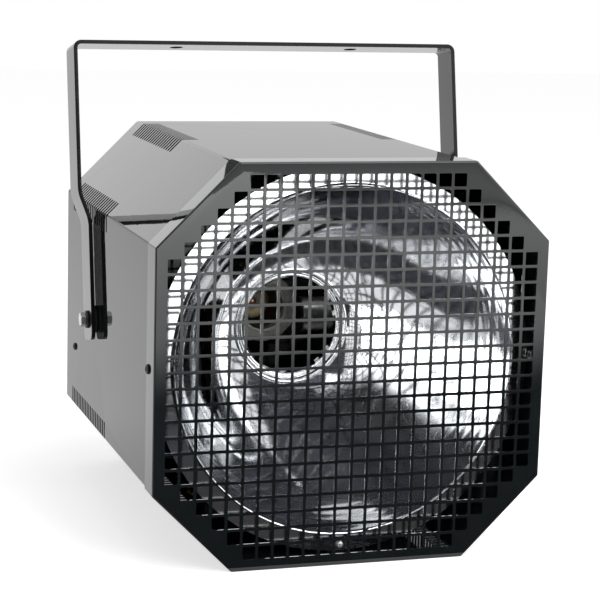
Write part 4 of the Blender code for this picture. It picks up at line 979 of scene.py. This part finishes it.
cover_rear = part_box("front_cover")[1].y
cover = eight_sided((-COVER_HALF, cover_front, LAMP_AXIS_Z - COVER_HALF),
                    (COVER_HALF, cover_rear, LAMP_AXIS_Z + COVER_HALF), COVER_LEG, "front_cover_sheet")
round_off(cover, lambda edge: middle(edge).y < cover_front + SHEET or lengthwise(edge), COVER_FOLD, 4,
          measure="WIDTH")
grille_half = HOLE_COUNT * HOLE_PITCH / 2
margin = COVER_HALF - grille_half
bm = edit(cover)
pick(bm.faces, lambda face: face.normal.y < -0.999)
front_face = max(bm.faces, key=lambda face: face.calc_area() if face.select else 0)
flat_half = max(vert.co.x for vert in front_face.verts)
bpy.ops.mesh.inset(thickness=flat_half - grille_half - GRILLE_SEAM)
bpy.ops.mesh.delete(type="FACE")
done()

bpy.ops.mesh.primitive_grid_add(x_subdivisions=HOLE_COUNT, y_subdivisions=HOLE_COUNT, size=2 * grille_half,
                                location=(0, cover_front, LAMP_AXIS_Z), rotation=(math.pi / 2, 0, 0))
grille = settled("grille")
cut_line = 2 * COVER_HALF - COVER_LEG - margin * math.sqrt(2)
for side in SIDES.values():
    for end in (-1, 1):
        all_over(grille, bpy.ops.mesh.bisect,
                 plane_co=(side * cut_line / 2, cover_front, LAMP_AXIS_Z + end * cut_line / 2),
                 plane_no=(side, 0, end), clear_outer=True)


def is_punched(face):
    """Whether a cell of the grille has a hole: the outer rows lose cells towards the cut corners."""
    column, row = (int((place + grille_half) / HOLE_PITCH) for place in
                   (middle(face).x, middle(face).z - LAMP_AXIS_Z))
    from_side = min(column, HOLE_COUNT - 1 - column)
    from_end = min(row, HOLE_COUNT - 1 - row)
    return from_side + from_end >= CORNER_STEPS


def from_axis(place):
    """How far out a place on the face lies, with 1 on the eight-sided line round the grille."""
    across, up = abs(place.x), abs(place.z - LAMP_AXIS_Z)
    return max(across / grille_half, up / grille_half, (across + up) / cut_line)


bm = edit(grille)
pick(bm.faces, is_punched)
bpy.ops.mesh.inset(thickness=(HOLE_PITCH - HOLE_SIZE) / 2, use_individual=True)
bpy.ops.mesh.bevel(offset=HOLE_CORNER, segments=3, affect="VERTICES")
bpy.ops.mesh.select_all(action="DESELECT")
bm = bmesh.from_edit_mesh(grille.data)
pick(bm.faces, lambda face: face.calc_area() > HOLE_SIZE ** 2 * 0.8 and len(face.verts) > 8)
bpy.ops.mesh.delete(type="FACE")
done()
cover = join([cover, grille])
bm = edit(cover, "EDGE")
pick(bm.edges, lambda edge: edge.is_boundary and middle(edge).y < cover_front + SHEET
     and from_axis(middle(edge)) > 1 - SHEET / grille_half)
bpy.ops.mesh.bridge_edge_loops()
done()
all_over(cover, bpy.ops.mesh.normals_make_consistent, inside=False)
widest = max(cover.data.polygons, key=lambda face: face.area)
if widest.normal.dot(widest.center - Vector((0, 0, LAMP_AXIS_Z))) < 0:
    all_over(cover, bpy.ops.mesh.flip_normals)
change(cover, "SOLIDIFY", thickness=SHEET, offset=-1, use_even_offset=True)
screw_y = (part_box("cover_screw_left")[0].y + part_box("cover_screw_left")[1].y) / 2
cut(cover, [add_rod(COVER_SCREW_HOLE, (side * (COVER_HALF - 2 * SHEET), screw_y, LAMP_AXIS_Z),
                    (side * (COVER_HALF + SHEET), screw_y, LAMP_AXIS_Z), "screw_tool")
            for side in SIDES.values()])
ease(cover, COVER_EDGE, 1, 50)
fit(cover, "front_cover", powder_coat("powder_coat_cover", COVER_BLACK, COVER_GLOSS))

# Cover screws
# M5 pan heads in black oxide, one in each side of the cover, screwed through it into a nut that is
# welded behind the housing's sheet.
SIDE_HEAD = 0.0095
SIDE_HEAD_HEIGHT = 0.0024
SIDE_SHANK = 0.0048
SIDE_NUT_BORE = 0.0054

for side_name, side in SIDES.items():
    pan_screw("side_screw_" + side_name, "cover_screw_" + side_name, (side, 0, 0), black_screw, SIDE_HEAD,
              SIDE_HEAD_HEIGHT, SIDE_SHANK)
    hex_nut("side_nut_" + side_name, "cover_nut_" + side_name, (-side, 0, 0), SIDE_NUT_BORE, zinc)

# Yoke
# A 40 x 4 mm steel flat bar, bent square at both corners and stepped outwards above the housing, with
# its two ends rounded. It is coated like the housing and hangs the flood by two holes in its bar.
YOKE_TILT = 11.1
YOKE_THICKNESS = 0.004
YOKE_WIDTH = 0.040
YOKE_HEIGHT = 0.283
ARM_HALF = 0.1967
BAR_HALF = 0.2066
JOGGLE_START = 0.100
JOGGLE_END = 0.128
ARM_END = 0.021
ARM_CORNER = 0.009
BAR_BEND = 0.008
JOGGLE_BEND = 0.006
BAR_HOLE = 0.00675
BAR_HOLE_SPACING = 0.190
YOKE_EDGE = 0.0006
YOKE_COLOUR = (0.011, 0.011, 0.012)
YOKE_PEEL = 0.00003
FACE_GLOSS = 1.0
EDGE_GLOSS = 0.12


def is_bend(edge):
    return len(edge.link_faces) == 2


def in_bar(edge):
    """Whether an edge lies in the bar, at the yoke's full height."""
    return middle(edge).z > YOKE_HEIGHT - SHEET


yoke_line = [(-ARM_HALF, JOGGLE_START), (-BAR_HALF, JOGGLE_END), (-BAR_HALF, YOKE_HEIGHT),
             (BAR_HALF, YOKE_HEIGHT), (BAR_HALF, JOGGLE_END), (ARM_HALF, JOGGLE_START), (ARM_HALF, -ARM_END)]
bpy.ops.mesh.primitive_plane_add(size=1, location=(-ARM_HALF, 0, (JOGGLE_START - ARM_END) / 2),
                                 rotation=(0, math.pi / 2, 0))
bpy.context.object.scale = (JOGGLE_START + ARM_END, YOKE_WIDTH, 1)
yoke = settled("yoke_bar")
bm = edit(yoke, "EDGE")
pick(bm.edges, lambda edge: middle(edge).z > JOGGLE_START - SHEET)
for (x, z), (next_x, next_z) in zip(yoke_line, yoke_line[1:]):
    bpy.ops.mesh.extrude_region_move(TRANSFORM_OT_translate={"value": (next_x - x, 0, next_z - z)})
done()
round_off(yoke, lambda edge: is_bend(edge) and not in_bar(edge), JOGGLE_BEND, 5)
round_off(yoke, lambda edge: is_bend(edge) and in_bar(edge), BAR_BEND, 9)
round_off(yoke, lambda vert: vert.co.z < -ARM_END + SHEET, ARM_CORNER, 8, corners=True)
outwards(yoke)
top = max(yoke.data.polygons, key=lambda face: face.center.z)
change(yoke, "SOLIDIFY", thickness=YOKE_THICKNESS, offset=-1 if top.normal.z > 0 else 1, use_even_offset=True)
cut(yoke, [add_rod(BOLT_HOLE, (-BAR_HALF, 0, 0), (BAR_HALF, 0, 0), "pivot_tool", 40)]
    + [add_rod(BAR_HOLE, (side * BAR_HOLE_SPACING / 2, 0, YOKE_HEIGHT - 2 * YOKE_THICKNESS),
               (side * BAR_HOLE_SPACING / 2, 0, YOKE_HEIGHT + YOKE_THICKNESS), "bar_tool", 48)
       for side in SIDES.values()])
outwards(yoke)
ease(yoke, YOKE_EDGE, 3, 35)
yoke.rotation_euler = (-math.radians(YOKE_TILT), 0, 0)
yoke.location = (0, PIVOT_Y, LAMP_AXIS_Z)
settled("yoke_bar")
fit(yoke, "yoke", powder_coat("powder_coat_yoke", YOKE_COLOUR, FACE_GLOSS, YOKE_PEEL))
yoke.data.materials.append(powder_coat("powder_coat_yoke_edge", YOKE_COLOUR, EDGE_GLOSS, YOKE_PEEL))
to_front = Vector((0, -math.cos(math.radians(YOKE_TILT)), math.sin(math.radians(YOKE_TILT))))
for face in yoke.data.polygons:
    face.material_index = 1 if abs(face.normal.dot(to_front)) > 0.7 else 0

# Pivot bolts
# On each side an M8 zinc-plated hexagon bolt clamps the arm on a black steel washer and a hard rubber
# disc, so that friction holds the tilt. Its nut is inside the housing.
TILT_HEX = 0.013
TILT_HEAD = 0.0053
TILT_SHANK = 0.0078
TILT_NUT_BORE = 0.0084
WASHER_WIDTH = 0.018
WASHER_EDGE = 0.0003
DISC_WIDTH = 0.028
DISC_EDGE = 0.0006
RUBBER_BLACK = (0.016, 0.016, 0.017)

rubber = moulded("hard_rubber", RUBBER_BLACK, 500.0, 0.6)
for side_name, side in SIDES.items():
    out = (side, 0, 0)
    hex_bolt("tilt_bolt_" + side_name, "pivot_bolt_" + side_name, out, zinc, TILT_HEX, TILT_HEAD, TILT_SHANK)
    hex_nut("tilt_nut_" + side_name, "pivot_nut_" + side_name, (-side, 0, 0), TILT_NUT_BORE, zinc)
    for name, node, across, edge, finish in (
            ("tilt_washer_", "pivot_washer_", WASHER_WIDTH, WASHER_EDGE, black_screw),
            ("tilt_disc_", "pivot_disc_", DISC_WIDTH, DISC_EDGE, rubber)):
        thickness = length_of(node + side_name, out)
        profile = [(BOLT_HOLE + edge, 0)] + arc(across / 2 - edge, edge, edge, -90, 0, 3)
        profile += arc(across / 2 - edge, thickness - edge, edge, 0, 90, 3)
        profile += [(BOLT_HOLE + edge, thickness), (BOLT_HOLE, thickness - edge), (BOLT_HOLE, edge),
                    (BOLT_HOLE + edge, 0)]
        ring = turned(name + side_name, profile, 64)
        put(ring, seat_of(node + side_name, out, thickness), out)
        smooth(ring, 35)
        fit(ring, node + side_name, finish)

# Studio
# A pale floor and a white surround. Softboxes stand in front on the right, high on the left, behind and
# overhead, and dark cards in front and on the floor give the gloss black and the mirror something to show.
WHITE = (1, 1, 1)
CARD_GREY = (0.80, 0.86, 1.0)
SUBJECT = Vector((0, -0.15, LAMP_AXIS_Z))
FLOOR_SIZE = 14
FLOOR_PALE = (0.80, 0.80, 0.80)
FLOOR_SHOWN = 0.64
ROOM_LIGHT = 0.42
FLOOR_DARK_TO = 0.62
FLOOR_GREY_TO = 1.15
FLOOR_CARD_LENGTH = 3.2
FLOOR_CARD_HEIGHT = 0.004
FLOOR_CARD_LEFT = -0.14
FLOOR_CARD_RIGHT = 0.8
FLOOR_GAINS = (2.3, 2.4)
FLOOR_DARK = 0.02
SIDE_CARD_START = 0.3
SIDE_CARD_END = 2.4
SIDE_CARD_HEIGHT = 0.008
SIDE_CARD_FROM = -42
SIDE_CARD_TO = -5
SIDE_CARD_DARK = 0.05


def card(name, azimuth, elevation, distance, width, height, strength, colour=WHITE, lights=True):
    """A flat card that faces the flood, seen in its gloss but not by the camera; it may light it too."""
    turn, rise = math.radians(azimuth), math.radians(elevation)
    out = Vector((math.sin(turn) * math.cos(rise), -math.cos(turn) * math.cos(rise), math.sin(rise)))
    bpy.ops.mesh.primitive_plane_add(size=1, location=SUBJECT + out * distance)
    made = bpy.context.object
    made.name = name
    made.scale = (width, height, 1)
    made.rotation_euler = out.to_track_quat("Z", "Y").to_euler()
    glow(made, strength, colour)
    made.visible_diffuse = lights
    return made


def glow(made, strength, colour=WHITE):
    shine = bpy.data.materials.new(made.name)
    shine.use_nodes = True
    tree = shine.node_tree
    tree.nodes.clear()
    out = tree.nodes.new("ShaderNodeOutputMaterial")
    light = tree.nodes.new("ShaderNodeEmission")
    light.inputs["Strength"].default_value = strength
    light.inputs["Color"].default_value = (*colour, 1)
    tree.links.new(light.outputs[0], out.inputs["Surface"])
    made.data.materials.append(shine)
    made.visible_camera = False
    made.visible_shadow = False
    made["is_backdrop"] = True
    return tree


def seen_share(tree, shown, lit):
    """A strength that is one value for camera, glossy and transmission rays, and another for the rest."""
    paths = tree.nodes.new("ShaderNodeLightPath")
    last = paths.outputs["Is Camera Ray"]
    for name in ("Is Glossy Ray", "Is Transmission Ray"):
        either = tree.nodes.new("ShaderNodeMath")
        either.operation = "MAXIMUM"
        tree.links.new(last, either.inputs[0])
        tree.links.new(paths.outputs[name], either.inputs[1])
        last = either.outputs[0]
    level = tree.nodes.new("ShaderNodeMapRange")
    level.inputs["To Min"].default_value = lit
    level.inputs["To Max"].default_value = shown
    tree.links.new(last, level.inputs["Value"])
    return level.outputs[0]


bpy.ops.mesh.primitive_plane_add(size=FLOOR_SIZE, location=(0, 0, 0))
floor = bpy.context.object
floor.name = "studio_floor"
ground = Finish("pale_floor", roughness=0.9, level=0.0)
ground.give("Base Color", FLOOR_PALE)
ground.give("Emission Color", WHITE)
ground.give("Emission Strength", seen_share(ground.tree, FLOOR_SHOWN, 0.0))
floor.data.materials.append(ground.material)
floor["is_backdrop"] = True

world = bpy.data.worlds.new("studio")
bpy.context.scene.world = world
world.use_nodes = True
tree = world.node_tree
tree.links.new(seen_share(tree, 1.0, ROOM_LIGHT), tree.nodes["Background"].inputs["Strength"])
tree.nodes["Background"].inputs["Color"].default_value = (*WHITE, 1)

card("softbox_front", 30, 22, distance=2.6, width=1.9, height=2.1, strength=4.8)
card("softbox_back_left", 188, 19, distance=2.6, width=1.0, height=0.7, strength=1.9, lights=False)
card("softbox_overhead", 40, 76, distance=2.0, width=1.2, height=1.0, strength=5.0)
card("softbox_high_left", -37, 45, distance=2.3, width=0.75, height=0.5, strength=3.0, lights=False)
card("dark_card_left", -27, 14, distance=2.4, width=1.2, height=2.1, strength=0.06, colour=CARD_GREY,
     lights=False)
card("dark_card_high", 0, 46, distance=2.2, width=1.2, height=0.44, strength=0.16, colour=CARD_GREY,
     lights=False)


def floor_card(name, near, far, height, left, right, strength, colour=WHITE):
    """A card on the floor, seen in gloss alone; left and right are its sides' places near and far."""
    bpy.ops.mesh.primitive_plane_add(size=1, location=(0, 0, 0))
    made = bpy.context.object
    made.name = name
    for vert in made.data.vertices:
        end = 0 if vert.co.y > 0 else 1
        vert.co = ((left, right)[vert.co.x > 0][end], (near, far)[end], height)
    tree = glow(made, strength, colour)
    made.visible_diffuse = False
    return tree


def beside(azimuth, y):
    """Where a line from the flood at this azimuth crosses this distance."""
    return math.tan(math.radians(azimuth)) * (SUBJECT.y - y)


dark_end, grey_end, far = (front_y - reach for reach in (FLOOR_DARK_TO, FLOOR_GREY_TO, FLOOR_CARD_LENGTH))
tree = floor_card("dark_card_floor", front_y, far, FLOOR_CARD_HEIGHT,
                  (FLOOR_CARD_LEFT, beside(SIDE_CARD_FROM, far)), (FLOOR_CARD_RIGHT, FLOOR_CARD_RIGHT), 1.0)
place = tree.nodes.new("ShaderNodeTexCoord")
split = tree.nodes.new("ShaderNodeSeparateXYZ")
tree.links.new(place.outputs["Object"], split.inputs[0])
total = tree.nodes.new("ShaderNodeMath")
for index, (start, end, kind) in enumerate(((dark_end, grey_end, "SMOOTHSTEP"), (grey_end, far, "LINEAR"))):
    fade = tree.nodes.new("ShaderNodeMapRange")
    fade.interpolation_type = kind
    for name, value in (("From Min", start), ("From Max", end), ("To Min", FLOOR_DARK),
                        ("To Max", FLOOR_GAINS[index])):
        fade.inputs[name].default_value = value
    tree.links.new(split.outputs["Y"], fade.inputs["Value"])
    tree.links.new(fade.outputs[0], total.inputs[index])
light = next(node for node in tree.nodes if node.type == "EMISSION")
tree.links.new(total.outputs[0], light.inputs["Strength"])
side_ends = (front_y - SIDE_CARD_START, front_y - SIDE_CARD_END)
side_lines = [[beside(azimuth, y) for y in side_ends] for azimuth in (SIDE_CARD_FROM, SIDE_CARD_TO)]
floor_card("dark_card_floor_left", *side_ends, SIDE_CARD_HEIGHT, *side_lines, SIDE_CARD_DARK, CARD_GREY)

# Camera
# Stands a little to the left of the front and above it, turned a touch, as in the photograph.
AZIMUTH = -17.5
ELEVATION = 10.051
ROLL = 1.587
DISTANCE = 1.8352
LENS = 119.3
SENSOR_WIDTH = 36
CLIP_START = 0.05
LOOK_AT = (-0.04659, -0.19388, 0.24910)

turn, rise = math.radians(AZIMUTH), math.radians(ELEVATION)
back = Vector((math.sin(turn) * math.cos(rise), -math.cos(turn) * math.cos(rise), math.sin(rise)))
bpy.ops.object.camera_add(location=Vector(LOOK_AT) + back * DISTANCE)
camera = bpy.context.object
camera.name = "camera"
camera.rotation_mode = "QUATERNION"
camera.rotation_quaternion = (-back).to_track_quat("-Z", "Y") @ Quaternion((0, 0, 1), math.radians(ROLL))
camera.data.lens = LENS
camera.data.sensor_width = SENSOR_WIDTH
camera.data.clip_start = CLIP_START
bpy.context.scene.camera = camera
bpy.context.scene.view_settings.view_transform = "Standard"

low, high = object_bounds()
